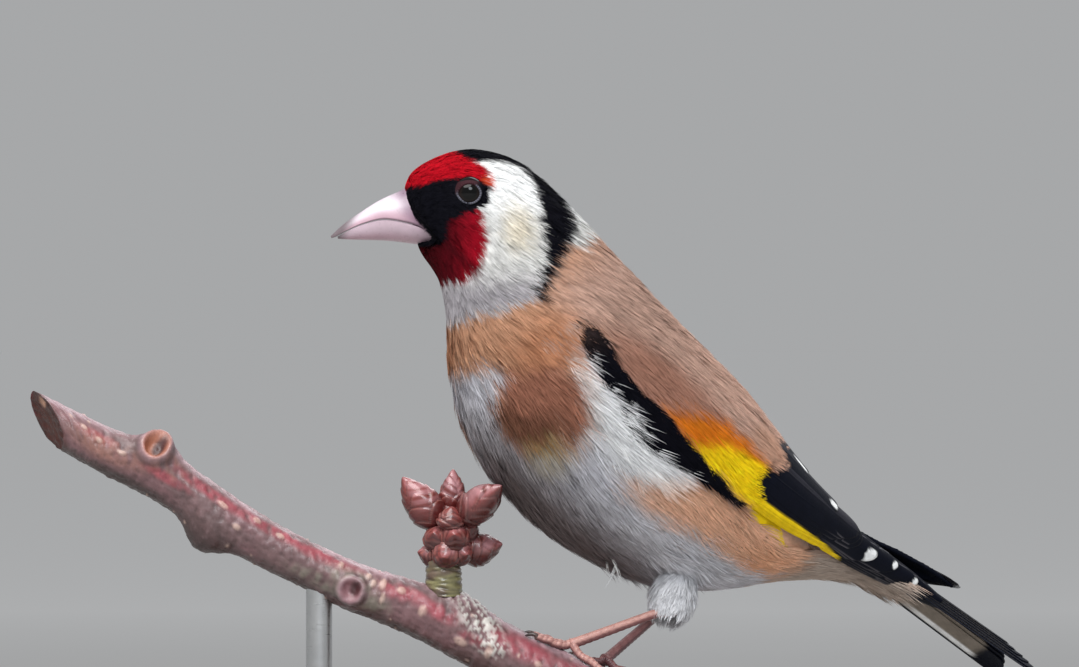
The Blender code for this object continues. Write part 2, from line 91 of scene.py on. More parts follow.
# A folded wing's edges on the hull: section, upper edge and lower edge in degrees.
WING_EDGES = [
    (7.9, 74.0, 90.0),
    (8.8, 62.0, 97.0),
    (10.2, 46.0, 100.0),
    (12.0, 24.0, 101.0),
    (14.0, 10.0, 104.0),
    (16.0, 7.0, 114.0),
    (17.6, 9.0, 122.0),
    (18.9, 50.0, 96.0),
]
WING_THICK, WING_EDGE_THICK = 1.7, 0.6
WING_RISE = {"left": (-0.4, -0.6), "right": (3.6, 1.4)}

TAIL_BASE, TAIL_TIP = (54.8, 62.4), (80.2, 47.4)
TAIL_HALF_WIDTH = (4.4, 6.0)
TAIL_ARCH = (2.1, 2.1)
TAIL_ROLL = 0.04  # how far the tail's left side hangs lower, for each mm aside
TAIL_NOTCH = 4.5

LEGS = {
    "left": {
        "hip": (6.6, 20.0, 66.5),
        "hem": (6.4, 16.2, 57.2),
        "ankle": (6.3, 13.8, 57.2),
        "foot": (1.2, 8.0),
    },
    "right": {
        "hip": (-6.0, 25.0, 66.5),
        "hem": (-5.6, 24.2, 57.4),
        "ankle": (-5.2, 22.6, 57.2),
        "foot": (6.2, -22.0),
    },
}
THIGH_SECTIONS = 4.0

EYE_RADIUS = 2.3
EYE_PLACE = (6.35, -10.7, 114.9)

# Colours of the plumage, and of the painted shade on it.
CRIMSON = (0.42, 0.003, 0.011)
LOWER_RED = (0.27, 0.003, 0.012)
DEEP_RED = (0.052, 0.002, 0.005)
FLAME = (0.58, 0.085, 0.018)
BLACK = (0.0035, 0.0035, 0.0065)
WHITE = (0.93, 0.94, 0.94)
CREAM = (0.72, 0.63, 0.46)
COOL_WHITE = (0.58, 0.575, 0.62)
# painted shade for the lower throat
PAINTED_THROAT_SHADE = (0.33, 0.305, 0.335)
# painted shade for the lower part of the pale head
PAINTED_CHEEK_SHADE = (0.60, 0.595, 0.575)
# painted shade for the underside of the belly
PAINTED_BELLY_SHADE = (0.126, 0.093, 0.089)
TAN = (0.53, 0.285, 0.175)
RUST = (0.46, 0.185, 0.090)
CHESTNUT = (0.15, 0.065, 0.040)
OLIVE = (0.42, 0.32, 0.11)
MANTLE = (0.52, 0.335, 0.265)
WARM_BACK = (0.335, 0.143, 0.093)
BUFF = (0.84, 0.49, 0.325)
RUSTY_BUFF = (0.86, 0.41, 0.21)
VENT = (0.48, 0.39, 0.33)
ORANGE = (0.69, 0.190, 0.012)
YELLOW = (0.98, 0.68, 0.010)


def smooth_step(x):
    x = np.clip(x, 0, 1)
    return x * x * (3 - 2 * x)


def spline(rows, t):
    """Catmull-Rom through rows, at t in rows."""
    rows = np.asarray(rows, float)
    last = len(rows) - 1
    padded = np.vstack([2 * rows[0] - rows[1], rows, 2 * rows[-1] - rows[-2]])
    t = np.clip(np.asarray(t, float), 0, last)
    i = np.minimum(t.astype(int), last - 1)
    f = (t - i)[..., None]
    a, b, c, d = (padded[i + k] for k in range(4))
    return b + 0.5 * f * (c - a + f * (2 * a - 5 * b + 4 * c - d + f * (3 * (b - c) + d - a)))


def section_points(table, u, angle, grow=0.0):
    """Points of the lofted body with its head straight ahead."""
    u, angle = np.broadcast_arrays(np.asarray(u, float), np.asarray(angle, float))
    row = spline(table, u)
    back, belly, width, widest = row[..., 0:2], row[..., 2:4], row[..., 4], row[..., 5]
    depth = np.linalg.norm(back - belly, axis=-1)
    up = (back - belly) / depth[..., None]
    above, below = depth * widest, depth * (1 - widest)
    middle = back - up * above[..., None]
    rise = (np.where(np.cos(angle) > 0, above, below) + grow) * np.cos(angle)
    side = (width + grow) * np.sin(angle)
    yz = middle + up * rise[..., None]
    return np.stack([side, yz[..., 0], yz[..., 1]], -1)


def turned(points, share):
    """The points turned with the head about the neck's upright axis, by a share of the whole turn."""
    angle = HEAD_TURN * share
    x, y = points[..., 0], points[..., 1] - NECK_AXIS_Y
    across = x * np.cos(angle) - y * np.sin(angle)
    along = x * np.sin(angle) + y * np.cos(angle) + NECK_AXIS_Y
    return np.stack([across, along, points[..., 2]], -1)


def neck_share(u):
    return smooth_step((TURN_STARTS - u) / (TURN_STARTS - TURN_ENDS))


def with_head(points):
    return turned(np.asarray(points, float), 1.0)


# The root of the bill, in the side view of the head held straight: (y, z).
BILL_ROOT = [
    (-20.5, 115.5), (-18.3, 112.2), (-16.7, 110.4), (-15.1, 108.3), (-16.2, 107.6), (-18.6, 107.5),
    (-24.0, 107.0), (-24.0, 118.0),
]
BILL_FOLD = 0.5  # how much narrower the coat is where it lies inside the bill


def inside(places, outline):
    """How far places lie inside a closed outline, below zero outside it."""
    x, y = places[..., 0], places[..., 1]
    nearest = np.full(x.shape, 1e9)
    within = np.zeros(x.shape, bool)
    for (ax, ay), (bx, by) in zip(outline, [*outline[1:], outline[0]]):
        dx, dy = bx - ax, by - ay
        t = np.clip(((x - ax) * dx + (y - ay) * dy) / (dx * dx + dy * dy), 0, 1)
        nearest = np.minimum(nearest, np.hypot(x - ax - t * dx, y - ay - t * dy))
        if ay != by:
            within ^= ((ay > y) != (by > y)) & (x < dx * (y - ay) / dy + ax)
    return np.where(within, nearest, -nearest)


def bill_root(side):
    """From 0 to 1 as places in the head's side view pass from the face into the root of the bill."""
    return smooth_step(inside(side, BILL_ROOT) / 0.9 + 0.35)


def coat_face(u, angle, grow=0.0, fold=BILL_FOLD):
    """The coat's outer face over head and body, folded in where the bill grows out of it."""
    u, angle = np.broadcast_arrays(np.asarray(u, float), np.asarray(angle, float))
    points = section_points(PLUMAGE, u, angle, grow)
    front = u < 3.2
    points[front, 0] *= 1 - fold * bill_root(points[front, 1:3])
    return turned(points, neck_share(u))


def hull_face(u, angle, grow=0.0):
    """The outer face of body and folded wings."""
    u, angle = np.broadcast_arrays(np.asarray(u, float), np.asarray(angle, float))
    return turned(section_points(HULL, u, angle, grow), neck_share(u))


def wing_face(u, angle, grow=0.0):
    """The hull's face, with each wing's tip carried to its own place."""
    u, angle = np.broadcast_arrays(np.asarray(u, float), np.asarray(angle, float))
    reach = smooth_step((u - 13.0) / 6.0)[..., None]
    left, right = (np.array([0.0, *WING_RISE[side]]) for side in SIDES)
    return hull_face(u, angle, grow) + reach * np.where((angle >= 0)[..., None], left, right)


# Meshes


def new_object(name, points, quads, triangles, material):
    """A smooth mesh object from points in mm and arrays of corner numbers."""
    mesh = bpy.data.meshes.new(name)
    mesh.vertices.add(len(points))
    mesh.vertices.foreach_set("co", (np.asarray(points) * MM).astype(np.float32).ravel())
    quads = np.asarray(quads, np.int32).reshape(-1, 4)
    triangles = np.asarray(triangles, np.int32).reshape(-1, 3)
    corners = np.concatenate([quads.ravel(), triangles.ravel()])
    sizes = np.concatenate([np.full(len(quads), 4), np.full(len(triangles), 3)])
    mesh.loops.add(len(corners))
    mesh.loops.foreach_set("vertex_index", corners)
    mesh.polygons.add(len(sizes))
    mesh.polygons.foreach_set("loop_start", np.concatenate([[0], np.cumsum(sizes)[:-1]]).astype(np.int32))
    mesh.update(calc_edges=True)
    mesh.validate()
    mesh.shade_smooth()
    mesh.materials.append(material)
    made = bpy.data.objects.new(name, mesh)
    bpy.context.scene.collection.objects.link(made)
    return made


def set_tint(piece, colours):
    """Stores a colour for each point of a piece."""
    layer = piece.data.color_attributes.new(name="tint", type="FLOAT_COLOR", domain="POINT")
    rgba = np.ones((len(colours), 4), np.float32)
    rgba[:, :3] = colours
    layer.data.foreach_set("color", rgba.ravel())


def set_map(piece, places):
    """Stores a map named OFBake from a place for each point."""
    corners = np.zeros(len(piece.data.loops), np.int32)
    piece.data.loops.foreach_get("vertex_index", corners)
    layer = piece.data.uv_layers.new(name="OFBake")
    layer.data.foreach_set("uv", np.asarray(places, np.float32)[corners].ravel())


def grid_faces(rows, columns, closed=False, first=0):
    """Quads over a grid of points, facing along rows crossed with columns."""
    i, j = np.meshgrid(np.arange(rows - 1), np.arange(columns if closed else columns - 1), indexing="ij")
    k = (j + 1) % columns
    quads = np.stack([i * columns + j, i * columns + k, (i + 1) * columns + k, (i + 1) * columns + j], -1)
    return quads.reshape(-1, 4) + first


def loft_parts(rings, ends=None):
    """Points, quads and end triangles of a closed skin over rings."""
    rings = np.asarray(rings, float)
    count, around = rings.shape[:2]
    if ends is None:
        ends = rings[0].mean(0), rings[-1].mean(0)
    points = np.vstack([rings.reshape(-1, 3), np.asarray(ends)])
    j = np.arange(around)
    k = (j + 1) % around
    first = np.stack([np.full(around, count * around), k, j], -1)
    last_ring = (count - 1) * around
    last = np.stack([np.full(around, count * around + 1), last_ring + j, last_ring + k], -1)
    return points, grid_faces(count, around, closed=True), np.vstack([first, last])


def shell_parts(outer, inner):
    """Points and quads of a closed shell between two grids of the same shape."""
    rows, columns = outer.shape[:2]
    below = rows * columns
    top = grid_faces(rows, columns)
    border = [(0, j) for j in range(columns)] + [(i, columns - 1) for i in range(1, rows)]
    border += [(rows - 1, j) for j in range(columns - 2, -1, -1)] + [(i, 0) for i in range(rows - 2, 0, -1)]
    a = np.array([i * columns + j for i, j in border])
    b = np.roll(a, -1)
    rim = np.stack([b, a, below + a, below + b], -1)
    points = np.vstack([outer.reshape(-1, 3), inner.reshape(-1, 3)])
    return points, np.vstack([top, below + top[:, ::-1], rim])


class Gather:
    """Parts gathered into one mesh."""

    def __init__(self):
        self.points, self.quads, self.triangles, self.tints = [], [], [], []
        self.count = 0

    def add(self, points, quads=(), triangles=(), tint=(1.0, 1.0, 1.0)):
        self.quads.append(np.asarray(quads, np.int32).reshape(-1, 4) + self.count)
        self.triangles.append(np.asarray(triangles, np.int32).reshape(-1, 3) + self.count)
        self.points.append(np.asarray(points, float))
        self.tints.append(np.broadcast_to(np.asarray(tint, float), (len(points), 3)))
        self.count += len(points)

    def make(self, name, material):
        quads, triangles = np.vstack(self.quads), np.vstack(self.triangles)
        piece = new_object(name, np.vstack(self.points), quads, triangles, material)
        set_tint(piece, np.vstack(self.tints))
        return piece


def tube_rings(path, radii, sides):
    """Rings along a path, turned as little as can be from one to the next."""
    path = np.asarray(path, float)
    radii = np.broadcast_to(np.asarray(radii, float), (len(path),))
    along = np.gradient(path, axis=0)
    along /= np.linalg.norm(along, axis=1)[:, None]
    side = np.cross(along[0], (0.0, 0.0, 1.0) if abs(along[0][2]) < 0.9 else (1.0, 0.0, 0.0))
    angles = np.linspace(0, 2 * np.pi, sides, endpoint=False)
    rings = []
    for point, radius, heading in zip(path, radii, along):
        side = side - heading * side.dot(heading)
        side /= np.linalg.norm(side)
        over = np.cross(side, heading)
        rings.append(point + radius * (np.cos(angles)[:, None] * side + np.sin(angles)[:, None] * over))
    return np.array(rings)


def attach(piece, slot, *nodes):
    """Makes a piece part of the model, in place of the nodes it stands for."""
    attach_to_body(piece, "root")
    if nodes:
        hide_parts(*nodes)
    return piece


# Materials


def new_material(name, roughness=0.6, **constants):
    made = bpy.data.materials.new(name)
    made.use_nodes = True
    shader = made.node_tree.nodes["Principled BSDF"]
    shader.inputs["Roughness"].default_value = roughness
    for key, value in constants.items():
        shader.inputs[key.replace("_", " ")].default_value = value
    return made, made.node_tree, shader


def add_node(tree, kind, **settings):
    node = tree.nodes.new(kind)
    for key, value in settings.items():
        setattr(node, key, value)
    return node


def noise(tree, scale, detail=4.0, roughness=0.6, vector=None, distortion=0.0):
    node = add_node(tree, "ShaderNodeTexNoise")
    node.inputs["Scale"].default_value = scale
    node.inputs["Detail"].default_value = detail
    node.inputs["Roughness"].default_value = roughness
    node.inputs["Distortion"].default_value = distortion
    if vector is None:
        vector = add_node(tree, "ShaderNodeTexCoord").outputs["Object"]
    tree.links.new(vector, node.inputs["Vector"])
    return node.outputs["Fac"]


def ramp(tree, value, stops):
    """A colour ramp of (place, colour) stops over a value."""
    node = add_node(tree, "ShaderNodeValToRGB")
    tree.links.new(value, node.inputs["Fac"])
    while len(node.color_ramp.elements) < len(stops):
        node.color_ramp.elements.new(1.0)
    for element, (place, colour) in zip(node.color_ramp.elements, stops):
        element.position = place
        element.color = (*colour, 1.0)
    return node.outputs["Color"]


def mix(tree, kind, share, first, second):
    """Mixes two colours. The share, the first and the second may be values or sockets."""
    node = add_node(tree, "ShaderNodeMix", data_type="RGBA", blend_type=kind)
    for socket, value in ((node.inputs[0], share), (node.inputs[6], first), (node.inputs[7], second)):
        if isinstance(value, bpy.types.NodeSocket):
            tree.links.new(value, socket)
        else:
            socket.default_value = value if isinstance(value, float) else (*value, 1.0)
    return node.outputs[2]


def span(tree, value, low, high, to_low, to_high):
    node = add_node(tree, "ShaderNodeMapRange")
    tree.links.new(value, node.inputs["Value"])
    limits = {"From Min": low, "From Max": high, "To Min": to_low, "To Max": to_high}
    for key, number in limits.items():
        node.inputs[key].default_value = number
    return node.outputs["Result"]


def math_node(tree, operation, *values):
    node = add_node(tree, "ShaderNodeMath", operation=operation)
    for socket, value in zip(node.inputs, values):
        if isinstance(value, bpy.types.NodeSocket):
            tree.links.new(value, socket)
        else:
            socket.default_value = value
    return node.outputs[0]


def tint_node(tree, name="tint"):
    return add_node(tree, "ShaderNodeAttribute", attribute_name=name)


def bump(tree, shader, height, strength, distance):
    node = add_node(tree, "ShaderNodeBump")
    node.inputs["Strength"].default_value = strength
    node.inputs["Distance"].default_value = distance
    tree.links.new(height, node.inputs["Height"])
    tree.links.new(node.outputs["Normal"], shader.inputs["Normal"])


def tinted_material(name, roughness, spread, scale, fine, depth, **constants):
    """A material coloured by each point's tint, with fine variation of colour, roughness and height."""
    made, tree, shader = new_material(name, **constants)
    grain = noise(tree, scale)
    small = noise(tree, fine, detail=3.0)
    light = tuple([1.0 + spread] * 3)
    dark = tuple([1.0 - spread] * 3)
    varied = ramp(tree, grain, [(0.3, dark), (0.7, light)])
    colour = mix(tree, "MULTIPLY", 1.0, tint_node(tree).outputs["Color"], varied)
    tree.links.new(colour, shader.inputs["Base Color"])
    tree.links.new(span(tree, small, 0.3, 0.7, *roughness), shader.inputs["Roughness"])
    bump(tree, shader, small, 0.4, depth)
    return made


def wood_material():
    """Dark turned wood, its grain drawn out along the base."""
    made, tree, shader = new_material("wood", Coat_Weight=0.25, Coat_Roughness=0.25)
    place = add_node(tree, "ShaderNodeTexCoord").outputs["Object"]
    stretch = add_node(tree, "ShaderNodeMapping")
    stretch.inputs["Scale"].default_value = (1.0, 0.09, 1.0)
    tree.links.new(place, stretch.inputs["Vector"])
    grain = noise(tree, 420.0, detail=6.0, vector=stretch.outputs["Vector"], distortion=1.2)
    fine = noise(tree, 1600.0, vector=stretch.outputs["Vector"])
    broad = ramp(tree, grain, [(0.30, (0.050, 0.022, 0.011)), (0.52, (0.11, 0.052, 0.025)), (0.72, (0.17, 0.085, 0.042))])
    pores = ramp(tree, fine, [(0.36, (0.5, 0.5, 0.5)), (0.50, (1.0, 1.0, 1.0))])
    tree.links.new(mix(tree, "MULTIPLY", 0.8, broad, pores), shader.inputs["Base Color"])
    tree.links.new(span(tree, fine, 0.3, 0.7, 0.34, 0.5), shader.inputs["Roughness"])
    bump(tree, shader, fine, 0.25, 0.00008)
    return made


def steel_material():
    """Brushed steel with its scratches round the rod."""
    made, tree, shader = new_material("steel", Metallic=1.0)
    place = add_node(tree, "ShaderNodeTexCoord").outputs["Object"]
    stretch = add_node(tree, "ShaderNodeMapping")
    stretch.inputs["Scale"].default_value = (0.05, 0.05, 1.0)
    tree.links.new(place, stretch.inputs["Vector"])
    scratch = noise(tree, 5200.0, detail=3.0, vector=stretch.outputs["Vector"])
    smudge = noise(tree, 90.0)
    colour = ramp(tree, smudge, [(0.35, (0.50, 0.51, 0.52)), (0.65, (0.60, 0.605, 0.61))])
    tree.links.new(colour, shader.inputs["Base Color"])
    tree.links.new(span(tree, scratch, 0.3, 0.7, 0.26, 0.40), shader.inputs["Roughness"])
    bump(tree, shader, scratch, 0.2, 0.00003)
    return made


def make_materials():
    made = {}
    soft = {"Sheen_Weight": 0.006, "Sheen_Roughness": 0.5, "Specular_IOR_Level": 0.045}
    made["plumage"] = tinted_material("plumage", (0.62, 0.85), 0.10, 900.0, 5200.0, 0.00004, **soft)
    made["skin"] = tinted_material("skin", (0.6, 0.8), 0.12, 700.0, 2600.0, 0.00012, Specular_IOR_Level=0.05)
    quill = {"Specular_IOR_Level": 0.05}
    made["quill"] = tinted_material("quill", (0.34, 0.52), 0.14, 600.0, 3000.0, 0.00004, **quill)
    made["horn"] = tinted_material("horn", (0.24, 0.42), 0.07, 420.0, 1800.0, 0.00005, Coat_Weight=0.15)
    made["leg"] = tinted_material("leg", (0.38, 0.62), 0.16, 900.0, 2600.0, 0.00012, Coat_Weight=0.1)
    made["eye"] = tinted_material("eye", (0.05, 0.09), 0.0, 400.0, 900.0, 0.0, Specular_IOR_Level=0.26)
    made["claw"] = tinted_material("claw", (0.22, 0.4), 0.15, 800.0, 2200.0, 0.00004, Coat_Weight=0.2)
    made["bark"] = tinted_material("bark", (0.36, 0.62), 0.12, 800.0, 2400.0, 0.00012, Coat_Weight=0.12)
    made["bud"] = tinted_material("bud", (0.28, 0.46), 0.16, 900.0, 2600.0, 0.00006, Coat_Weight=0.45)
    made["wood"] = wood_material()
    made["steel"] = steel_material()
    return made


# Markings

# Outlines on the head, in the side view of the head held straight: (y, z).
PALE_HEAD = [
    (-26, 126), (-26, 97), (-14.5, 96.6), (-11.1, 97.5), (-9.1, 98.1), (-6.9, 99.2), (-4.6, 100.3),
    (-2.2, 102.0), (0.0, 105.5), (1.8, 107.8), (4.1, 107.4), (6.6, 109.0), (7.5, 126),
]
NAPE = [
    (-12.9, 123.0), (-12.6, 120.3), (-10.7, 119.2), (-6.7, 119.3), (-4.1, 118.7), (-2.7, 117.8),
    (-1.6, 115.7), (-0.9, 113.2), (-0.8, 109.1), (-1.3, 105.7), (-2.8, 102.3), (-4.0, 100.3), (-3.0, 100.0),
    (-1.6, 102.4), (0.2, 105.3), (2.0, 107.8), (3.3, 110.0), (3.3, 111.6), (2.6, 114.0), (4.0, 118.0),
    (0.0, 123.0),
]
MASK = [
    (-21.5, 117.0), (-17.8, 116.6), (-16.1, 117.3), (-13.4, 117.8), (-10.7, 117.8), (-8.9, 117.0),
    (-8.0, 116.2), (-7.5, 114.8), (-8.1, 113.1), (-9.6, 112.2), (-12.0, 111.4), (-13.7, 110.8), (-13.7, 108.6),
    (-14.5, 107.6), (-18.5, 107.2), (-21.5, 111.0),
]
BROW = [
    (-21.5, 116.0), (-19.9, 115.9), (-17.8, 115.7), (-16.1, 116.4), (-13.4, 116.9), (-10.7, 116.9),
    (-8.6, 116.4), (-7.2, 115.2), (-7.5, 117.4), (-8.7, 118.6), (-11.2, 120.0), (-12.4, 120.5),
    (-13.4, 123.0), (-21.0, 121.0),
]
CHIN = [
    (-14.8, 111.8), (-12.0, 112.3), (-9.7, 112.9), (-8.5, 111.9), (-8.5, 109.2), (-8.6, 106.4),
    (-9.5, 104.1), (-11.7, 102.6), (-14.2, 102.3), (-17.5, 101.0), (-21.0, 106.0), (-18.0, 108.6),
    (-14.9, 108.4), (-14.3, 109.2),
]
MALAR = [(-15.2, 108.6), (-14.0, 108.4), (-9.0, 104.0), (-9.8, 103.2)]
EAR, EAR_REACH = (-4.1, 110.1), (1.8, 3.1)
FLARE, FLARE_REACH = (-8.2, 116.3), (1.0, 0.9)  # the orange end of the red brow

# Outlines on the body: (section, degrees from the back, to either side).
BELLY = [
    (7.42, 186), (7.42, 171), (7.5, 149), (7.71, 138), (8.0, 137), (8.1, 150), (8.6, 158), (9.1, 162),
    (9.5, 157), (9.75, 138), (9.6, 122), (9.1, 112), (8.6, 103), (8.2, 97), (8.3, 88), (10.0, 90),
    (11.3, 100), (10.9, 116), (11.2, 122), (12.5, 118), (13.5, 121), (14.3, 126), (14.6, 150), (14.4, 186),
]
PATCH = [
    (8.78, 158), (7.97, 146), (7.9, 131), (8.1, 118), (8.5, 110), (9.02, 112), (9.48, 124), (9.43, 136),
    (9.26, 156),
]
HEARTS = [(8.86, 154.0), (9.10, 147.0), (9.26, 139.0)]
HEART_REACH = (0.36, 9.0)
TINGE, TINGE_REACH = (9.66, 147.0), (0.3, 9.0)
FLANK = [
    (10.6, 127), (10.85, 113), (11.2, 105), (12.0, 96), (13.2, 84), (14.2, 88), (14.5, 104), (14.5, 122),
    (14.2, 130), (13.6, 126), (12.75, 121), (12.1, 123), (11.6, 126), (11.1, 131),
]
RUSTY, RUSTY_REACH = (13.6, 112.0), (0.5, 11.0)
LOW_FLANK, LOW_FLANK_REACH = (12.7, 138.0), (1.5, 15.0)  # the white plumage behind and over the thigh
# Outlines on the folded wing, on the hull.
BAND_SPAN = (7.85, 12.05)
# The upper and lower edges of the black band along the wing's front.
BAND_TOP = [
    (7.85, 87.0), (8.0, 83.0), (8.5, 87.0), (8.85, 93.0), (9.42, 95.0), (9.97, 94.0), (10.6, 94.5),
    (11.15, 95.5), (12.0, 97.0),
]
BAND_FOOT = [
    (7.85, 89.5), (8.24, 95.0), (8.61, 99.5), (8.95, 101.0), (9.52, 104.0), (10.21, 111.0), (10.7, 107.0),
    (11.31, 102.5), (12.0, 99.0),
]
BAND = BAND_TOP + BAND_FOOT[::-1]
GOLD = [
    (9.9, 92), (10.4, 78), (10.75, 70), (11.15, 67), (11.95, 70), (13.4, 72), (13.4, 98), (11.84, 96),
    (11.1, 95), (10.4, 95),
]
PURE_GOLD = [
    (10.65, 96), (10.85, 87), (11.2, 77), (11.6, 73), (11.95, 72), (13.4, 74), (13.4, 98), (11.84, 96),
    (11.1, 96),
]
SECTION_MM, DEGREE_MM = 5.2, 0.23  # what a section and a degree measure on the body, about


def paint(colours, share, tone):
    return colours + share[..., None] * (np.asarray(tone) - colours)


def blob(places, heart, reach, soft=0.5):
    """1 near a heart, fading to 0 beyond its reach."""
    away = np.hypot((places[..., 0] - heart[0]) / reach[0], (places[..., 1] - heart[1]) / reach[1])
    return smooth_step((1 + soft - away) / (2 * soft))


def on_chart(outline):
    return [(u * SECTION_MM, degrees * DEGREE_MM) for u, degrees in outline]


def region(places, outline, soft):
    return smooth_step(inside(places, outline) / soft + 0.5)


def body_colour(u, angle):
    """The plumage's colour at places on head and body, with painted shade on the cheek, throat, chin front and belly.
    """
    degrees = np.abs(np.degrees(angle))
    side = section_points(PLUMAGE, u, angle)[..., 1:3]
    place = np.stack([u, degrees], -1)
    chart = place * (SECTION_MM, DEGREE_MM)
    colours = np.broadcast_to(np.asarray(TAN), (*u.shape, 3)).copy()
    colours = paint(colours, smooth_step((100 - degrees) / 26) * smooth_step((u - 6.4) / 1.2), MANTLE)
    colours = paint(colours, smooth_step((u - 12.5) / 1.5) * smooth_step((90 - degrees) / 40), VENT)
    colours = paint(colours, 0.7 * blob(place, (8.3, 108.0), (0.9, 24.0)), RUST)
    colours = paint(colours, region(chart, on_chart(BELLY), 2.2), COOL_WHITE)
    # Painted shade: the belly's underside darkened, away from the light above.
    colours = paint(colours, 0.9 * blob(place, (11.0, 180.0), (2.3, 29.0), 0.6), PAINTED_BELLY_SHADE)
    colours = paint(colours, 0.5 * blob(place, (9.9, 114.0), (1.2, 12.0), 0.6), WHITE)
    colours = paint(colours, region(chart, on_chart(PATCH), 2.0), WARM_BACK)
    heart = np.max([blob(place, middle, HEART_REACH, 0.9) for middle in HEARTS], axis=0)
    colours = paint(colours, 0.9 * heart, CHESTNUT)
    colours = paint(colours, 0.55 * blob(place, TINGE, TINGE_REACH, 0.8), OLIVE)
    colours = paint(colours, 0.15 * blob(place, LOW_FLANK, LOW_FLANK_REACH, 0.5), WHITE)
    colours = paint(colours, 0.88 * region(chart, on_chart(FLANK), 2.6), BUFF)
    colours = paint(colours, 0.45 * blob(place, RUSTY, RUSTY_REACH, 0.8), RUSTY_BUFF)
    colours = paint(colours, smooth_step((u - 14.2) / 0.8) * smooth_step((degrees - 70) / 20), VENT)
    colours = paint(colours, region(side, PALE_HEAD, 1.0), WHITE)
    pale = region(side, PALE_HEAD, 1.0)
    # Painted shade: the pale head darkened towards its lower part, as the light falls from above.
    colours = paint(colours, 0.85 * pale * smooth_step((114.5 - side[..., 1]) / 5.0), PAINTED_CHEEK_SHADE)
    colours = paint(colours, 0.6 * blob(side, EAR, EAR_REACH, 0.7), CREAM)
    # Painted shade: the throat darkened towards its lower part, where it lies in shade.
    colours = paint(colours, 0.85 * pale * smooth_step((105.5 - side[..., 1]) / 5.0), PAINTED_THROAT_SHADE)
    colours = paint(colours, region(side, NAPE, 0.5), BLACK)
    chin = region(side, CHIN, 0.6)
    colours = paint(colours, chin, LOWER_RED)
    # Painted shade: the chin's red darkened towards the front, under the bill.
    colours = paint(colours, 0.9 * chin * smooth_step((-9.5 - side[..., 0]) / 4.0), DEEP_RED)
    colours = paint(colours, 0.75 * region(side, MALAR, 1.2), DEEP_RED)
    colours = paint(colours, region(side, MASK, 0.5), BLACK)
    brow = region(side, BROW, 0.5)
    colours = paint(colours, brow, CRIMSON)
    return paint(colours, 0.6 * brow * blob(side, FLARE, FLARE_REACH), FLAME)


def hull_colour(u, angle):
    """The plumage's colour at places on the back, the shoulders and the wings' coverts."""
    degrees = np.abs(np.degrees(angle))
    place = np.stack([u, degrees], -1)
    chart = place * (SECTION_MM, DEGREE_MM)
    colours = body_colour(np.minimum(u, 11.5), np.minimum(np.abs(angle), np.radians(60.0)))
    colours = colours * np.interp(u, [7.6, 9.2, 10.8, 12.0], [0.82, 0.96, 1.10, 1.16])[..., None]
    rusty = blob(place, (9.8, 84.0), (1.6, 16.0))
    colours = paint(colours, 0.75 * rusty, WARM_BACK)
    colours = paint(colours, 0.5 * blob(place, (11.9, 58.0), (0.6, 14.0)), TAN)
    colours = paint(colours, region(chart, on_chart(GOLD), 2.0), ORANGE)
    colours = paint(colours, region(chart, on_chart(PURE_GOLD), 1.6), YELLOW)
    return paint(colours, region(chart, on_chart(BAND), 0.5), BLACK)


# The coat

BARB_STATIONS = np.array([0.0, 0.38, 0.72, 1.0])
BARB_PROFILE = np.array([0.75, 1.0, 0.72])
# Brightness along a barb from root to tip: partly the greyer down at the root, partly painted shade where the barbs
# lie covered.
BARB_DOWN_AND_SHADE = np.array([0.68, 0.86, 1.0, 1.04])
PATCH_HALF = 0.0015  # half the size of a tuft's place on its map
STREAK_WAVES = 7


def scatter(seed, face, spans, density):
    """Roots spread evenly over a face: sections and angles within spans, density per square mm."""
    (u_low, u_high), (a_low, a_high) = spans
    gu, ga = np.meshgrid(np.linspace(u_low, u_high, 60), np.linspace(a_low, a_high, 60), indexing="ij")

    def wanted(u, angle):
        here = face(u, angle)
        by_u = (face(u + 0.01, angle) - here) / 0.01
        by_angle = (face(u, angle + 0.01) - here) / 0.01
        return np.linalg.norm(np.cross(by_u, by_angle), axis=-1) * density(u, angle)

    peak = wanted(gu, ga).max() * 1.05
    count = int(peak * (u_high - u_low) * (a_high - a_low))
    k = np.arange(count)
    u = u_low + (u_high - u_low) * ((0.5 + k * 0.7548776662466927) % 1)
    angle = a_low + (a_high - a_low) * ((0.5 + k * 0.5698402909980532) % 1)
    kept = np.random.default_rng(seed).random(count) * peak < wanted(u, angle)
    return u[kept], angle[kept]


def streaks(u, angle):
    """Long light and dark streaks that follow the lie of the coat, about -1 to 1."""
    rng = np.random.default_rng(9)
    total = np.zeros(u.shape)
    for _ in range(STREAK_WAVES):
        fine, drift, first, second = rng.uniform((28.0, 0.8, 0.0, 0.0), (105.0, 2.2, 6.3, 6.3))
        total += np.sin(fine * angle + first + 2.5 * np.sin(drift * u + second))
    return total / math.sqrt(STREAK_WAVES)


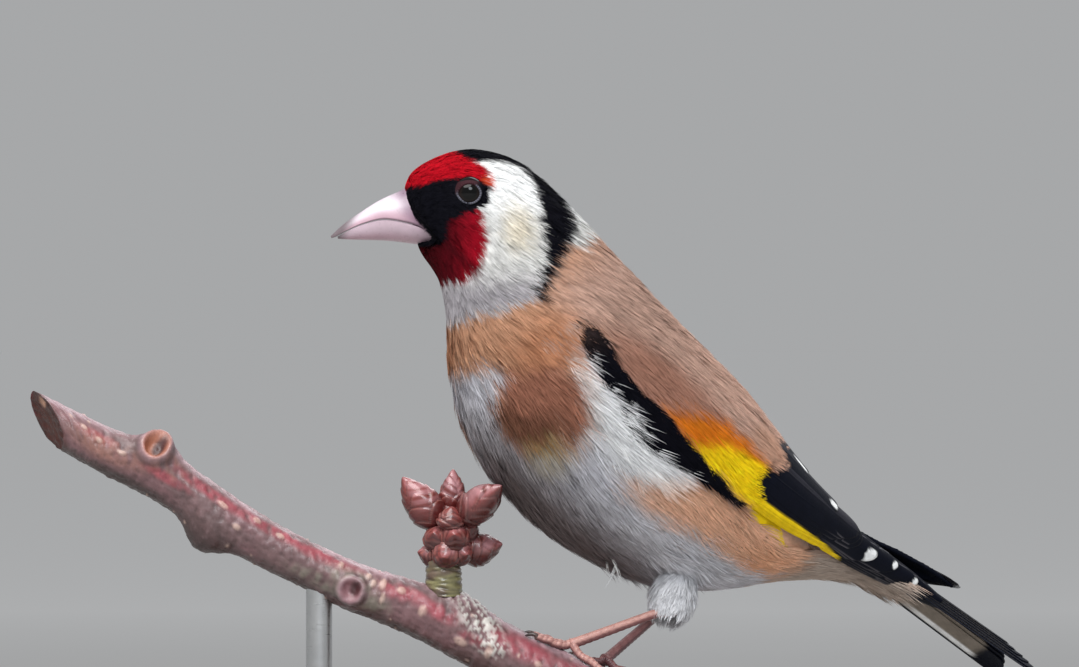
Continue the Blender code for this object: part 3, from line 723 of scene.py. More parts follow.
def coat(name, seed, face, colour_at, roots, size, barbs, barb_width, **look):
    """Tufts of barbs that fan out from each root and lie along the face. Size gives each its length and
    half width. Heading turns the lay from the tail towards the belly, in radians, and lift raises the tips."""
    rng = np.random.default_rng(seed)
    u, angle = roots
    length, width = size
    number = len(u)
    depth = look.get("depth", 0.9)
    raised = look.get("raised", 0.0)
    ruffle = look.get("ruffle", 0.06)
    heading = np.broadcast_to(look.get("heading", 0.0), (number,)) + rng.normal(0, look.get("stray", 0.10), number)
    lift = np.broadcast_to(look.get("lift", 0.1), (number,)) * rng.uniform(0.4, 1.4, number)
    side = np.sign(angle) + (angle == 0)
    here = face(u, angle)
    mm_by_u = np.linalg.norm(face(u + 0.05, angle) - here, axis=-1) / 0.05
    mm_by_angle = np.linalg.norm(face(u, angle + 0.02) - here, axis=-1) / 0.02

    def column(values):
        return values[:, None, None]

    spread = np.linspace(-1, 1, barbs)[None, :] + rng.normal(0, 0.5 / barbs, (number, barbs))
    outer = np.clip(np.abs(spread), 0, 1)
    end_along = (1 - 0.40 * outer**2) * (1 + rng.normal(0, ruffle, (number, barbs)))
    end_across = np.sin(spread * 1.45)
    start_along = 0.02 + 0.4 * (1 - outer) * rng.random((number, barbs))
    s = BARB_STATIONS
    along = start_along[..., None] + (end_along - start_along)[..., None] * s
    across = end_across[..., None] * (0.05 + 0.95 * (1 - (1 - s) ** 1.7))
    a = along * column(length)
    b = across * column(width)
    cosine, sine = column(np.cos(heading)), column(np.sin(heading))
    at_u = column(u) + (a * cosine - b * sine) / column(mm_by_u)
    at_angle = column(angle) + column(side) * (a * sine + b * cosine) / column(mm_by_angle)
    grow = raised - depth * (1 - np.clip(along, 0, 1)) ** 1.2 + column(lift) * along**2
    grow -= 0.10 * column(width) * across**2
    grow += column(rng.normal(0, 0.05, number)) + rng.normal(0, 0.03, (number, barbs, 1))
    grow = np.minimum(grow, look.get("highest", 9.0))
    points = face(at_u, at_angle, grow)
    normals = face(at_u, at_angle, grow + 0.5) - points
    normals /= np.linalg.norm(normals, axis=-1)[..., None]
    heads = np.gradient(points, axis=2)
    sideways = np.cross(heads, normals)
    sideways /= np.linalg.norm(sideways, axis=-1)[..., None] + 1e-9
    roll = rng.normal(0, 0.3, (number, barbs, 1, 1)) + 0.5 * across[..., None] * column(side)[..., None]
    sideways = sideways * np.cos(roll) + normals * np.sin(roll)
    half = 0.5 * barb_width * BARB_PROFILE[:, None] * rng.uniform(0.75, 1.25, (number, barbs, 1, 1))
    wide = sideways[:, :, :3] * half
    corners = np.stack([points[:, :, :3] - wide, points[:, :, :3] + wide], 3).reshape(number, barbs, 6, 3)
    corners = np.concatenate([corners, points[:, :, 3:]], 2)

    jitter = look.get("jitter", 0.25)
    mark_u = at_u[:, :, 2] + (rng.normal(0, jitter, (number, 1)) / mm_by_u[:, None])
    mark_angle = at_angle[:, :, 2] + (rng.normal(0, jitter, (number, 1)) / mm_by_angle[:, None])
    colours = colour_at(mark_u, mark_angle)
    tone = rng.normal(1, look.get("mottle", 0.07), (number, 1, 1)) * rng.normal(1, 0.05, (number, barbs, 1))
    tone = tone * (1 + look.get("streak", 0.0) * streaks(mark_u, mark_angle))[..., None]
    # Barb roots darker: grey down and painted shade.
    down_and_shade = BARB_DOWN_AND_SHADE[[0, 0, 1, 1, 2, 2, 3]]
    tints = np.clip(colours[:, :, None] * tone[:, :, None] * down_and_shade[:, None], 0, 0.96)

    total = number * barbs
    base = (np.arange(total) * 7)[:, None]
    quads = np.concatenate([base + (0, 1, 3, 2), base + (2, 3, 5, 4)])
    piece = new_object(name, corners.reshape(-1, 3), quads, base + (4, 5, 6), MATERIALS["plumage"])
    set_tint(piece, tints.reshape(-1, 3))
    spot = np.stack([0.02 + 0.96 * u / 20.0, 0.5 + 0.96 * angle / (2 * np.pi)], -1)
    pairs = [0, 0, 1, 1, 2, 2, 3]
    local = np.stack([along[:, :, pairs] * 2 - 1, across[:, :, pairs]], -1) * PATCH_HALF
    set_map(piece, (spot[:, None, None] + local).reshape(-1, 2))
    print(f"coat {name}: {number} tufts, {total * 5} triangles")
    return attach(piece, "plumage")


# Length and half width of the tufts by section.
TUFT_SIZES = [
    (0.0, 1.1, 0.36), (1.0, 1.3, 0.42), (3.0, 1.9, 0.58), (4.6, 2.6, 0.78), (6.0, 3.6, 1.0),
    (7.5, 4.8, 1.3), (9.0, 6.0, 1.6), (12.0, 6.8, 1.75), (19.0, 6.5, 1.6),
]
OVERLAP = 10.0
EYE_CLEAR = (1.68, 1.46)  # mm from the eye's centre to the nearest roots, ahead and above


def tuft_size(u, scale=1.0):
    table = np.asarray(TUFT_SIZES)
    return np.interp(u, table[:, 0], table[:, 1]) * scale, np.interp(u, table[:, 0], table[:, 2]) * scale


def tuft_density(overlap, keep=None, scale=1.0):
    """Tufts per square mm for an overlap, kept where keep says so."""

    def density(u, angle):
        length, width = tuft_size(u, scale)
        every = overlap / (1.6 * length * width)
        return every if keep is None else every * keep(u, np.abs(np.degrees(angle)))

    return density


def half_spans(side, u_low, u_high, low=0.0, high=180.0):
    angles = np.radians([low, high]) * SIDES[side]
    return (u_low, u_high), (min(angles), max(angles))


def head_coat(side, seed):
    """Short tufts over the head, none under the lids or in the bill, and none that reach over an eye."""
    u, angle = scatter(seed, coat_face, half_spans(side, 0.0, 4.7), tuft_density(OVERLAP))
    flat = section_points(PLUMAGE, u, angle)[:, 1:]
    behind, above = (np.array(EYE_PLACE[1:]) - flat).T
    away = np.hypot(behind / EYE_CLEAR[0], above / EYE_CLEAR[1])
    kept = (away > 1) & (bill_root(flat) < 0.5)
    u, angle, behind, above, away = (values[kept] for values in (u, angle, behind, above, away))
    length, width = tuft_size(u)
    near = np.clip((away - 1) / 0.75, 0, 1)
    length = length * (0.45 + 0.55 * near)
    lid = EYE_CLEAR[0] * np.sqrt(np.maximum(1 - (above / EYE_CLEAR[1]) ** 2, 0))
    room = np.where((behind > 0) & (np.abs(above) < EYE_CLEAR[1]), behind - lid + 0.25, 9.0)
    length = np.minimum(length, np.maximum(room, 0.3))
    coat(
        "coat_head_" + side, seed, coat_face, body_colour, (u, angle), (length, width * (0.6 + 0.4 * near)),
        12, 0.085, depth=0.4, lift=0.04, jitter=0.12, mottle=0.06, stray=0.14, ruffle=0.08, highest=-0.05,
    )


def bristle_face(u, angle, grow=0.0):
    return coat_face(u, angle, grow, fold=0.17)


def bristles(side, seed):
    """Short bristles that run forward from the face over the root of the bill."""

    def density(u, angle):
        share = bill_root(section_points(PLUMAGE, u, angle)[..., 1:3])
        return 7.0 * ((share > 0.01) & (share < 0.45))

    roots = scatter(seed, coat_face, half_spans(side, 0.0, 3.1, 14.0), density)
    size = 1.25 + 0 * roots[0], 0.32 + 0 * roots[0]
    coat(
        "coat_bristles_" + side, seed, bristle_face, body_colour, roots, size, 6, 0.06,
        heading=math.pi, depth=0.25, raised=-0.05, lift=0.12, jitter=0.1, stray=0.2, ruffle=0.25,
    )


def neck_coat(side, seed):
    roots = scatter(seed, coat_face, half_spans(side, 4.5, 7.6), tuft_density(OVERLAP))
    coat(
        "coat_neck_" + side, seed, coat_face, body_colour, roots, tuft_size(roots[0]), 15, 0.105,
        depth=0.65, lift=0.10, jitter=0.30, ruffle=0.12, stray=0.14, streak=0.05,
    )


def under_wing(u, degrees):
    """1 where the body is covered by feathers alone and 0 well under a folded wing."""
    edges = np.asarray(WING_EDGES)
    upper = np.interp(u, edges[:, 0], edges[:, 1]) + 16
    lower = np.interp(u, edges[:, 0], edges[:, 2]) - np.interp(u, [10.8, 11.4], [12.0, 6.0])
    hidden = (u > 8.4) & (degrees > upper) & (degrees < lower)
    return np.where(hidden, 0.0, 1.0)


def breast_coat(side, seed):
    def keep(u, degrees):
        in_band = (u > 7.9) & (degrees < band_edges(u + 0.7)[1])
        return under_wing(u, degrees) * (degrees > 84) * ~in_band

    roots = scatter(seed, coat_face, half_spans(side, 7.4, 11.0, 84.0), tuft_density(1.3 * OVERLAP, keep))
    u, angle = roots
    degrees = np.abs(np.degrees(angle))
    sweep = np.radians(np.where(degrees < 118, -(118 - degrees) * 0.9, 0.0)) * smooth_step((u - 8.0) / 0.8)
    coat(
        "coat_breast_" + side, seed, coat_face, body_colour, roots, tuft_size(u), 16, 0.12,
        heading=sweep, lift=0.15, jitter=0.5, ruffle=0.12, stray=0.12, streak=0.10,
    )


LOOSE_FLANK, LOOSE_REACH = (12.35, 147.0), (0.6, 13.0)  # where the flank's feathers hang loose


def belly_coat(side, seed):
    def keep(u, degrees):
        return under_wing(u, degrees) * (degrees > 76)

    roots = scatter(seed, coat_face, half_spans(side, 10.9, 14.2, 76.0), tuft_density(1.3 * OVERLAP, keep))
    place = np.stack([roots[0], np.abs(np.degrees(roots[1]))], -1)
    loose = blob(place, LOOSE_FLANK, LOOSE_REACH, 0.7)
    coat(
        "coat_belly_" + side, seed, coat_face, body_colour, roots, tuft_size(roots[0]), 16, 0.12,
        heading=0.04, lift=0.16 + 1.7 * loose, jitter=0.8, ruffle=0.13, stray=0.13, mottle=0.06, streak=0.13,
    )


def tail_covert_coat(side, seed):
    def keep(u, degrees):
        return 1.0 * ((u > 14) | (degrees < 60))

    roots = scatter(seed, coat_face, half_spans(side, 11.8, 17.4), tuft_density(OVERLAP, keep))
    coat(
        "coat_tail_coverts_" + side, seed, coat_face, body_colour, roots, tuft_size(roots[0]), 14, 0.14,
        lift=0.05, jitter=0.6, ruffle=0.10,
    )


# Where the mantle and the wing's coverts end over the flight feathers: degrees, section.
MANTLE_END = [
    (0.0, 12.3), (30.0, 12.1), (44.0, 11.9), (58.0, 12.3), (68.0, 12.05), (76.0, 11.95), (84.0, 12.15),
    (92.0, 12.4), (110.0, 12.3),
]
END_SPREAD = 0.7  # mm by which the tufts there end early or late


def mantle_coat(side, seed):
    """The mantle, the scapulars and the wing's coverts."""
    roots = scatter(seed, hull_face, half_spans(side, 7.3, 12.3, 0.0, 108.0), tuft_density(1.5 * OVERLAP))
    u, angle = roots
    length, width = tuft_size(u)
    degrees = np.abs(np.degrees(angle))
    ends = np.asarray(MANTLE_END)
    room = (np.interp(degrees, ends[:, 0], ends[:, 1]) - u) * 6.4
    room = room + np.random.default_rng(seed).normal(0, END_SPREAD, len(u))
    length = np.minimum(length, room)
    in_band = (degrees > band_edges(u)[0] + 1) & (u > BAND_SPAN[0])
    kept = (length > 1.2) & ~in_band
    shape = length[kept], width[kept]
    low = smooth_step((degrees[kept] - 60) / 30)
    coat(
        "coat_mantle_" + side, seed, hull_face, hull_colour, (u[kept], angle[kept]), shape, 15, 0.13,
        heading=0.10 * low, lift=0.05, jitter=0.4, ruffle=0.09, raised=0.1, mottle=0.07, streak=0.09,
    )


COVERT_BROWN = (0.10, 0.06, 0.045)


def band_edges(u):
    """The upper and lower edges of the black band in degrees, by section."""
    top, foot = np.asarray(BAND_TOP), np.asarray(BAND_FOOT)
    return np.interp(u, top[:, 0], top[:, 1]), np.interp(u, foot[:, 0], foot[:, 1])


def band_colour(u, angle):
    """Black with brownish edges on the smallest coverts."""
    colours = np.broadcast_to(np.asarray(BLACK), (*u.shape, 3)).copy()
    return paint(colours, 0.25 * smooth_step((8.6 - u) / 0.8), COVERT_BROWN)


def band_coat(side, seed):
    """The black coverts along the wing's front edge."""

    def length_at(u):
        room = (BAND_SPAN[1] + 0.3 - u) * SECTION_MM
        return np.minimum(np.interp(u, [7.8, 9.0, 11.0, 12.0], [1.9, 3.4, 4.2, 3.0]), room)

    def density(u, angle):
        degrees = np.abs(np.degrees(angle))
        tip = u + 0.75 * length_at(u) / SECTION_MM
        top, foot = band_edges(tip)
        return 4.2 * ((degrees > top + 0.8) & (degrees < foot - 0.5) & (degrees > band_edges(u)[0] - 4))

    roots = scatter(seed, hull_face, half_spans(side, BAND_SPAN[0], 11.9, 78.0, 114.0), density)
    u = roots[0]
    width = np.interp(u, [7.6, 9.0, 12.0], [0.6, 0.8, 0.7])
    coat(
        "coat_band_" + side, seed, hull_face, band_colour, roots, (length_at(u), width), 12, 0.13,
        heading=0.03, lift=0.08, ruffle=0.14, raised=0.35, depth=0.6, mottle=0.15, stray=0.10,
    )


def plume_colour(u, angle):
    return paint(body_colour(u, angle), np.full(u.shape, 0.45), WHITE)


def plumes(side, seed):
    """Loose white plumes of the flank that sweep up over the black band's lower edge."""

    def density(u, angle):
        below = np.abs(np.degrees(angle)) - band_edges(u + 0.45)[1]
        thick = np.interp(u, [7.9, 8.3, 9.2, 10.5, 10.8], [0, 0.5, 1, 1, 0])
        return 3.2 * ((below > 1.5) & (below < 13.0)) * thick

    u, angle = scatter(seed, hull_face, half_spans(side, 7.9, 10.9, 90.0, 122.0), density)
    length = np.interp(u, [8.0, 9.4, 10.8], [3.2, 5.6, 5.4])
    turn = np.radians(np.interp(u, [8.0, 9.4, 10.4, 10.8], [-6.0, -9.0, -6.0, 0.0]))
    coat(
        "coat_plumes_" + side, seed, hull_face, plume_colour, (u, angle), (length, 0.9 + 0 * u), 14, 0.09,
        heading=turn, lift=0.30, raised=0.32, depth=1.2, ruffle=0.24, stray=0.16, mottle=0.08, streak=0.10,
    )


def white_tips(u, angle):
    return np.broadcast_to(np.asarray(WHITE), (*u.shape, 3)).copy()


def belly_wisps(seed):
    """A few loose white tips that hang from the belly ahead of the legs."""
    u = np.array([11.72, 11.76, 11.80, 11.90, 11.96, 12.00])
    angle = np.radians([170.0, 174.0, 178.0, 171.0, 176.0, 179.0])
    size = np.array([3.4, 3.0, 2.6, 3.0, 2.4, 2.2]), np.array([0.30, 0.26, 0.22, 0.26, 0.22, 0.20])
    coat(
        "coat_wisps", seed, coat_face, white_tips, (u, angle), size, 7, 0.12,
        heading=0.0, lift=2.0, depth=0.8, ruffle=0.2, stray=0.2, mottle=0.08,
    )


THIGH_TUCK = 2.2  # mm by which a thigh's plumage starts further inwards than the hip
THIGH_RADII = (0.0, 1.0, 2.0, 3.2, 4.0, 5.0), (1.2, 1.8, 2.8, 3.4, 2.9, 1.5)


def thigh_face(side):
    """A thigh's feathered face: u from 0 at the hip to 4 at the hem, and on round the tarsus."""
    leg = LEGS[side]
    hip, hem, ankle = (np.array(leg[key]) for key in ("hip", "hem", "ankle"))
    hip[0] -= SIDES[side] * THIGH_TUCK
    along = (hem - hip) / np.linalg.norm(hem - hip)
    first = np.cross(along, (0.0, 1.0, 0.0))
    first /= np.linalg.norm(first)
    second = np.cross(along, first)
    beyond = hem + along * 2.2 + 0.1 * (ankle - hem)

    def face(u, angle, grow=0.0):
        u, angle = np.broadcast_arrays(np.asarray(u, float), np.asarray(angle, float))
        t = np.clip(u / THIGH_SECTIONS, 0, 1)[..., None]
        past = np.clip(u - THIGH_SECTIONS, 0, 1.5)[..., None]
        centre = hip + (hem - hip) * t + (beyond - hem) * past
        radius = np.interp(u, *THIGH_RADII) + grow
        ring = np.cos(angle)[..., None] * first + np.sin(angle)[..., None] * second
        return centre + radius[..., None] * ring

    return face


def thigh_colour(u, angle):
    colours = np.broadcast_to(np.asarray(WHITE), (*u.shape, 3)).copy()
    return paint(colours, 0.55 + 0.45 * smooth_step((2.8 - u) / 1.6), COOL_WHITE)


def thigh_coat(side, seed):
    face = thigh_face(side)
    roots = scatter(seed, face, ((0.3, 3.9), (-math.pi, math.pi)), lambda u, angle: 2.7 + 0 * u)
    u = roots[0]
    size = np.interp(u, [0.6, 3.9], [3.8, 2.4]), np.interp(u, [0.6, 3.9], [0.9, 0.65])
    coat(
        "coat_thigh_" + side, seed, face, thigh_colour, roots, size, 12, 0.11,
        heading=0.20, depth=0.6, lift=0.20, ruffle=0.16, stray=0.16, mottle=0.06, streak=0.04,
    )


# The skin

SKIN_DEPTH = [(0.0, 0.40), (3.0, 0.45), (5.0, 0.65), (8.0, 0.95), (17.0, 1.0)]
SKIN_VOXEL = 0.0004
WING_SKIN_CLEAR = 8.0  # degrees from its lower edge to the wing's, where the feathers run free
WING_SKIN = (-1.0, -1.8)  # the wing's skin lies between these levels, in mm from the hull
# The lids from their lip outwards: mm from the lip, and mm over the eyeball there.
LID = [(-0.10, 0.03), (0.00, 0.13), (0.09, 0.18), (0.19, 0.14), (0.30, 0.00), (0.46, -0.26), (0.80, -0.80)]
LID_HALF = (1.44, 1.30)
LID_DROP = 0.12
LID_GREY = (0.105, 0.105, 0.130)
LID_MAROON = (0.040, 0.014, 0.018)
LID_STEPS, LID_RINGS, LID_BEADS = 144, 20, 30


def wing_grid(side, level, rows, columns, inset):
    """A grid over a folded wing within its edges, level mm above the hull."""
    edges = np.asarray(WING_EDGES, float)
    u = np.linspace(edges[0, 0] + inset * 6, edges[-1, 0] - inset * 3, rows)
    edge = spline(edges[:, 1:], np.interp(u, edges[:, 0], np.arange(len(edges))))
    edge[:, 1] -= WING_SKIN_CLEAR * smooth_step(u - 11.0)
    across = np.linspace(inset, 1 - inset, columns)[None, :]
    degrees = edge[:, :1] + (edge[:, 1:] - edge[:, :1]) * across
    return wing_face(u[:, None], np.radians(degrees) * SIDES[side], level)


def tail_frame():
    base, tip = np.array(TAIL_BASE), np.array(TAIL_TIP)
    length = np.linalg.norm(tip - base)
    along = (tip - base) / length
    return base, along, np.array([-along[1], along[0]]), length


def tail_points(distance, x, lift):
    """Points of the tail: mm from its base, mm aside, and mm over its middle face."""
    base, along, over, length = tail_frame()
    distance, x, lift = np.broadcast_arrays(distance, x, lift)
    s = distance / length
    half_width = TAIL_HALF_WIDTH[0] + (TAIL_HALF_WIDTH[1] - TAIL_HALF_WIDTH[0]) * s
    arch = (TAIL_ARCH[0] + (TAIL_ARCH[1] - TAIL_ARCH[0]) * s) * (1 - (x / half_width) ** 2)
    rise = arch + lift - TAIL_ROLL * x
    y = base[0] + distance * along[0] + rise * over[0]
    z = base[1] + distance * along[1] + rise * over[1]
    return np.stack([x, y, z], -1)


def skin_body():
    """The skin's closed parts, before they are joined into one."""
    parts = Gather()
    angles = np.linspace(0, 2 * np.pi, 72, endpoint=False)
    u = np.linspace(0.0, TRUNK_END, 110)
    table = np.asarray(SKIN_DEPTH)
    depth = np.interp(u, table[:, 0], table[:, 1])
    parts.add(*loft_parts(coat_face(u[:, None], angles[None, :], -depth[:, None])))
    for side in SIDES:
        outer, inner = (wing_grid(side, level, 60, 24, 0.07) for level in WING_SKIN)
        flip = slice(None, None, int(SIDES[side]))
        parts.add(*shell_parts(outer[:, flip], inner[:, flip]))
        leg = LEGS[side]
        hip, hem = np.array(leg["hip"]), np.array(leg["hem"])
        hip[0] -= SIDES[side] * THIGH_TUCK
        t = np.linspace(0, 1, 14)[:, None]
        radii = np.interp(t[:, 0], [0, 0.5, 0.8, 1.0], [0.8, 2.0, 2.4, 1.3])
        parts.add(*loft_parts(tube_rings(hip + (hem - hip) * t, radii, 24)))
    rows, columns = np.linspace(-2.0, 10.0, 20)[:, None], np.linspace(-1, 1, 17)[None, :]
    slabs = [tail_points(rows, columns * np.interp(rows, [-2, 10], [3.8, 3.6]), lift) for lift in (0.5, -0.5)]
    parts.add(*shell_parts(slabs[1], slabs[0]))
    return parts


def one_skin(parts):
    """The parts as one closed smooth mesh: its points in mm, and its quads."""
    rough = parts.make("skin_parts", MATERIALS["skin"])
    remesh = rough.modifiers.new("one", "REMESH")
    remesh.mode = "VOXEL"
    remesh.voxel_size = SKIN_VOXEL
    smooth = rough.modifiers.new("even", "SMOOTH")
    smooth.factor, smooth.iterations = 0.5, 4
    mesh = rough.evaluated_get(bpy.context.evaluated_depsgraph_get()).to_mesh()
    points = np.zeros(len(mesh.vertices) * 3)
    mesh.vertices.foreach_get("co", points)
    corners = np.zeros(len(mesh.loops), np.int32)
    mesh.loops.foreach_get("vertex_index", corners)
    bpy.data.objects.remove(rough)
    return points.reshape(-1, 3) / MM, corners.reshape(-1, 4)


def skin_colours(points):
    """The markings carried from the coat's nearest place to each point of the skin."""
    u, angle = np.meshgrid(np.linspace(0, 17, 240), np.linspace(-np.pi, np.pi, 180), indexing="ij")
    wing_u, wing_angle = np.meshgrid(np.linspace(7.5, 19, 160), np.linspace(-2.1, 2.1, 160), indexing="ij")
    on_body = coat_face(u, angle)
    places = np.vstack([on_body.reshape(-1, 3), wing_face(wing_u, wing_angle, WING_SKIN[0]).reshape(-1, 3)])
    on_wing = quill_colour(wing_u, np.degrees(np.abs(wing_angle)))
    covert = (wing_u < 12.4)[..., None]
    on_wing = np.where(covert, hull_colour(wing_u, wing_angle), on_wing)
    colours = np.vstack([body_colour(u, angle).reshape(-1, 3), on_wing.reshape(-1, 3)])
    tree = KDTree(len(places))
    for number, place in enumerate(places):
        tree.insert(place, number)
    tree.balance()
    return colours[[tree.find(point)[1] for point in points]]


def eye_axes(side):
    """An eye's centre, and the head's outward, forward and upward directions there."""
    sign = SIDES[side]
    centre = with_head((sign * EYE_PLACE[0], *EYE_PLACE[1:]))
    origin = with_head((0.0, NECK_AXIS_Y, 0.0))
    outward = with_head((sign, NECK_AXIS_Y, 0.0)) - origin
    forward = with_head((0.0, NECK_AXIS_Y - 1.0, 0.0)) - origin
    return centre, outward, forward, np.array([0.0, 0.0, 1.0])


def lid_grid(side):
    """The two lids as a beaded ring that hugs the eyeball and runs out into the skin. The ring is grey below
    and behind and maroon above, and ahead of the eye its beads run out over the skin."""
    centre, outward, forward, upward = eye_axes(side)
    centre = centre - LID_DROP * upward
    turn = np.linspace(0, 2 * np.pi, LID_STEPS, endpoint=False)
    ahead, above = np.cos(turn), np.sin(turn)
    reach = 1 / np.hypot(ahead / LID_HALF[0], above / LID_HALF[1])
    reach = reach + np.exp(-((above / 0.28) ** 2)) * np.where(ahead > 0, 0.14, 0.04)
    grey = np.maximum(smooth_step((0.35 - above) / 0.7), smooth_step((-ahead - 0.45) / 0.4))
    patch = np.exp(-(((turn + np.pi) % (2 * np.pi) - np.pi + 0.30) / 0.42) ** 2)
    rings, tints = [], []
    lip = np.sqrt(EYE_RADIUS**2 - (reach * ahead) ** 2 - (reach * above - LID_DROP) ** 2) + 0.04
    for out, height in spline(LID, np.linspace(0, len(LID) - 1, LID_RINGS)):
        edge = np.exp(-(((out - 0.09) / 0.11) ** 2))
        beads = np.cos(turn * LID_BEADS + 3.0 * out)
        outer_beads = np.cos(turn * LID_BEADS * 1.3) * np.cos(out * 19.0)
        r = reach + out
        level = lip + height + 0.035 * beads * edge - 0.25 * np.maximum(out, 0)
        level = level + 0.05 * patch * outer_beads * smooth_step((out - 0.2) / 0.2)
        spokes = (r * ahead)[:, None] * forward + (r * above)[:, None] * upward
        rings.append(centre + level[:, None] * outward + spokes)
        tone = paint(np.broadcast_to(np.asarray(LID_MAROON), (LID_STEPS, 3)), grey, LID_GREY)
        tone = tone * (1 + 0.5 * beads)[:, None]
        around = paint(np.broadcast_to(np.asarray(BLACK), (LID_STEPS, 3)), 0.9 * (1 - grey), LID_MAROON)
        tone = paint(tone, np.full(LID_STEPS, smooth_step((out - 0.15) / 0.14)), around)
        speckle = patch * smooth_step(0.5 + outer_beads) * smooth_step((0.85 - out) / 0.3)
        tints.append(paint(tone, 0.55 * speckle, LID_GREY))
    return np.array(rings), np.vstack(tints)


def make_skin():
    points, quads = one_skin(skin_body())
    skin = Gather()
    skin.add(points, quads, tint=skin_colours(points))
    for side in SIDES:
        rings, tints = lid_grid(side)
        faces = grid_faces(LID_RINGS, LID_STEPS, closed=True)
        skin.add(rings.reshape(-1, 3), faces if side == "right" else faces[:, ::-1], tint=tints)
    piece = skin.make("skin", MATERIALS["skin"])
    replaced = ["head", "neck", "trunk", "tail"]
    replaced += [part + "_" + side for part in ("wing", "thigh") for side in SIDES]
    attach(piece, "plumage", *replaced)


# Eyes and bill

PUPIL, IRIS = 0.95, 1.75
IRIS_BROWN = (0.008, 0.004, 0.003)
PUPIL_BLACK = 0.0015


def make_eye(side):
    """An eyeball with a low clear bulge in front, dark brown round a black pupil."""
    centre, outward, forward, upward = eye_axes(side)
    polar = np.linspace(0.02, np.pi - 0.02, 44)[:, None]
    turn = np.linspace(0, 2 * np.pi, 64, endpoint=False)[None, :]
    radius = EYE_RADIUS - 0.03 + 0.12 * smooth_step((1.0 - polar) / 0.7)
    out = (radius * np.cos(polar) + 0 * turn)[..., None] * outward
    over = (radius * np.sin(polar) * np.cos(turn))[..., None] * forward
    over = over + (radius * np.sin(polar) * np.sin(turn))[..., None] * upward
    from_axis = (EYE_RADIUS * np.sin(polar) + 0 * turn).ravel()
    tint = np.zeros((from_axis.size, 3)) + PUPIL_BLACK
    ring = smooth_step((from_axis - PUPIL) / 0.15) * smooth_step((IRIS - from_axis) / 0.2)
    fibres = 1 + 0.25 * np.sin(np.broadcast_to(turn, (44, 64)).ravel() * 21)
    tint = paint(tint, ring, IRIS_BROWN) * fibres[:, None]
    points, quads, caps = loft_parts(centre + out + over)
    eye = Gather()
    if side == "left":
        quads, caps = quads[:, ::-1], caps[:, ::-1]
    eye.add(points, quads, caps, tint=np.vstack([tint, [(PUPIL_BLACK,) * 3] * 2]))
    attach(eye.make("eyeball_" + side, MATERIALS["eye"]), "eye", "eye_" + side)


UPPER_BILL = [
    (-18.9, 116.0, -15.9, 109.0, 4.5),
    (-20.4, 115.15, -17.8, 110.4, 3.95),
    (-23.0, 113.95, -22.1, 111.35, 2.75),
    (-25.7, 112.25, -25.2, 110.75, 1.85),
    (-27.8, 110.8, -27.4, 109.8, 1.1),
    (-29.2, 109.55, -28.9, 109.0, 0.5),
    (-29.75, 109.0, -29.6, 108.75, 0.14),
]
LOWER_BILL = [
    (-14.8, 107.8, -14.7, 108.7, 4.6),
    (-17.8, 107.9, -17.9, 110.35, 3.8),
    (-21.6, 108.35, -22.1, 111.25, 2.6),
    (-25.0, 108.5, -25.2, 110.65, 1.75),
    (-27.2, 108.55, -27.4, 109.7, 1.05),
    (-28.7, 108.65, -28.8, 108.95, 0.4),
]
BILL_PINK = (0.53, 0.350, 0.415)
BILL_IVORY = (0.69, 0.615, 0.68)
BILL_TIP = (0.13, 0.10, 0.11)
BILL_BASE = (0.17, 0.095, 0.150)


def make_bill(name, rows, upper, node):
    count, arc = 56, 31
    rows_at = spline(rows, np.linspace(0, len(rows) - 1, count))
    angles = np.linspace(0, np.pi, arc)
    rings, tints = [], []
    for ridge_y, ridge_z, edge_y, edge_z, width in rows_at:
        ridge, edge = np.array([ridge_y, ridge_z]), np.array([edge_y, edge_z])
        climb = np.sin(angles) ** 1.05
        side = width * np.sign(np.cos(angles)) * np.abs(np.cos(angles)) ** 0.9
        yz = edge + (ridge - edge) * climb[:, None]
        ring = [(x, *place) for x, place in zip(side, yz)]
        inward = edge + (ridge - edge) * 0.14
        ring += [(-width * 0.7, *inward), (0.0, *inward), (width * 0.7, *inward)]
        rings.append(with_head(ring))
        places = np.array([(edge + (ridge - edge) * c) for c in [*climb, 0.1, 0.1, 0.1]])
        climbs = np.array([*climb, 0.0, 0.0, 0.0])
        tone = np.broadcast_to(np.asarray(BILL_PINK), (len(places), 3)).copy()
        # Each mandible is paler towards its top: partly the horn's own ivory, partly painted highlight from light
        # above.
        pale = smooth_step((climbs - 0.15) / 0.5) if upper else smooth_step((0.9 - climbs) / 0.5)
        tone = paint(tone, (0.9 if upper else 0.35) * pale, BILL_IVORY)
        line = smooth_step((0.10 - climbs) / 0.10) if upper else smooth_step((0.08 - climbs) / 0.08)
        tone = paint(tone, 0.4 * line, BILL_BASE)
        base = smooth_step((places[:, 0] + 21.0 + 0.55 * (places[:, 1] - 112)) / 3.0)
        tone = paint(tone, (0.85 if upper else 0.3) * base, BILL_BASE)
        tip = smooth_step((-26.2 - places[:, 0] + 0.5 * (places[:, 1] - 110)) / 2.0)
        tone = paint(tone, 0.95 * tip, BILL_TIP)
        tints.append(tone)
    points, quads, caps = loft_parts(rings)
    if upper:
        quads, caps = quads[:, ::-1], caps[:, ::-1]
    bill = Gather()
    bill.add(points, quads, caps, tint=np.vstack([*tints, tints[0][:1], tints[-1][:1]]))
    attach(bill.make(name, MATERIALS["horn"]), "horn", node)


# Flight feathers

VANE_THICK = 0.08
VANE_RIBS = 18
BLUE_BLACK = (0.004, 0.005, 0.0105)
TERTIAL_GREY = (0.050, 0.046, 0.062)
PALE_EDGE = (0.30, 0.28, 0.31)
UNDER_GREY = (0.07, 0.065, 0.07)
# The bright outer webs of the folded flight feathers, on the hull: (section, degrees).
BAR = [
    (11.3, 98.5), (11.8, 94), (12.2, 92), (12.6, 90.5), (13.1, 90), (13.6, 91), (14.1, 92.5), (14.4, 95),
    (14.75, 100), (14.8, 106), (14.5, 116), (11.3, 116),
]


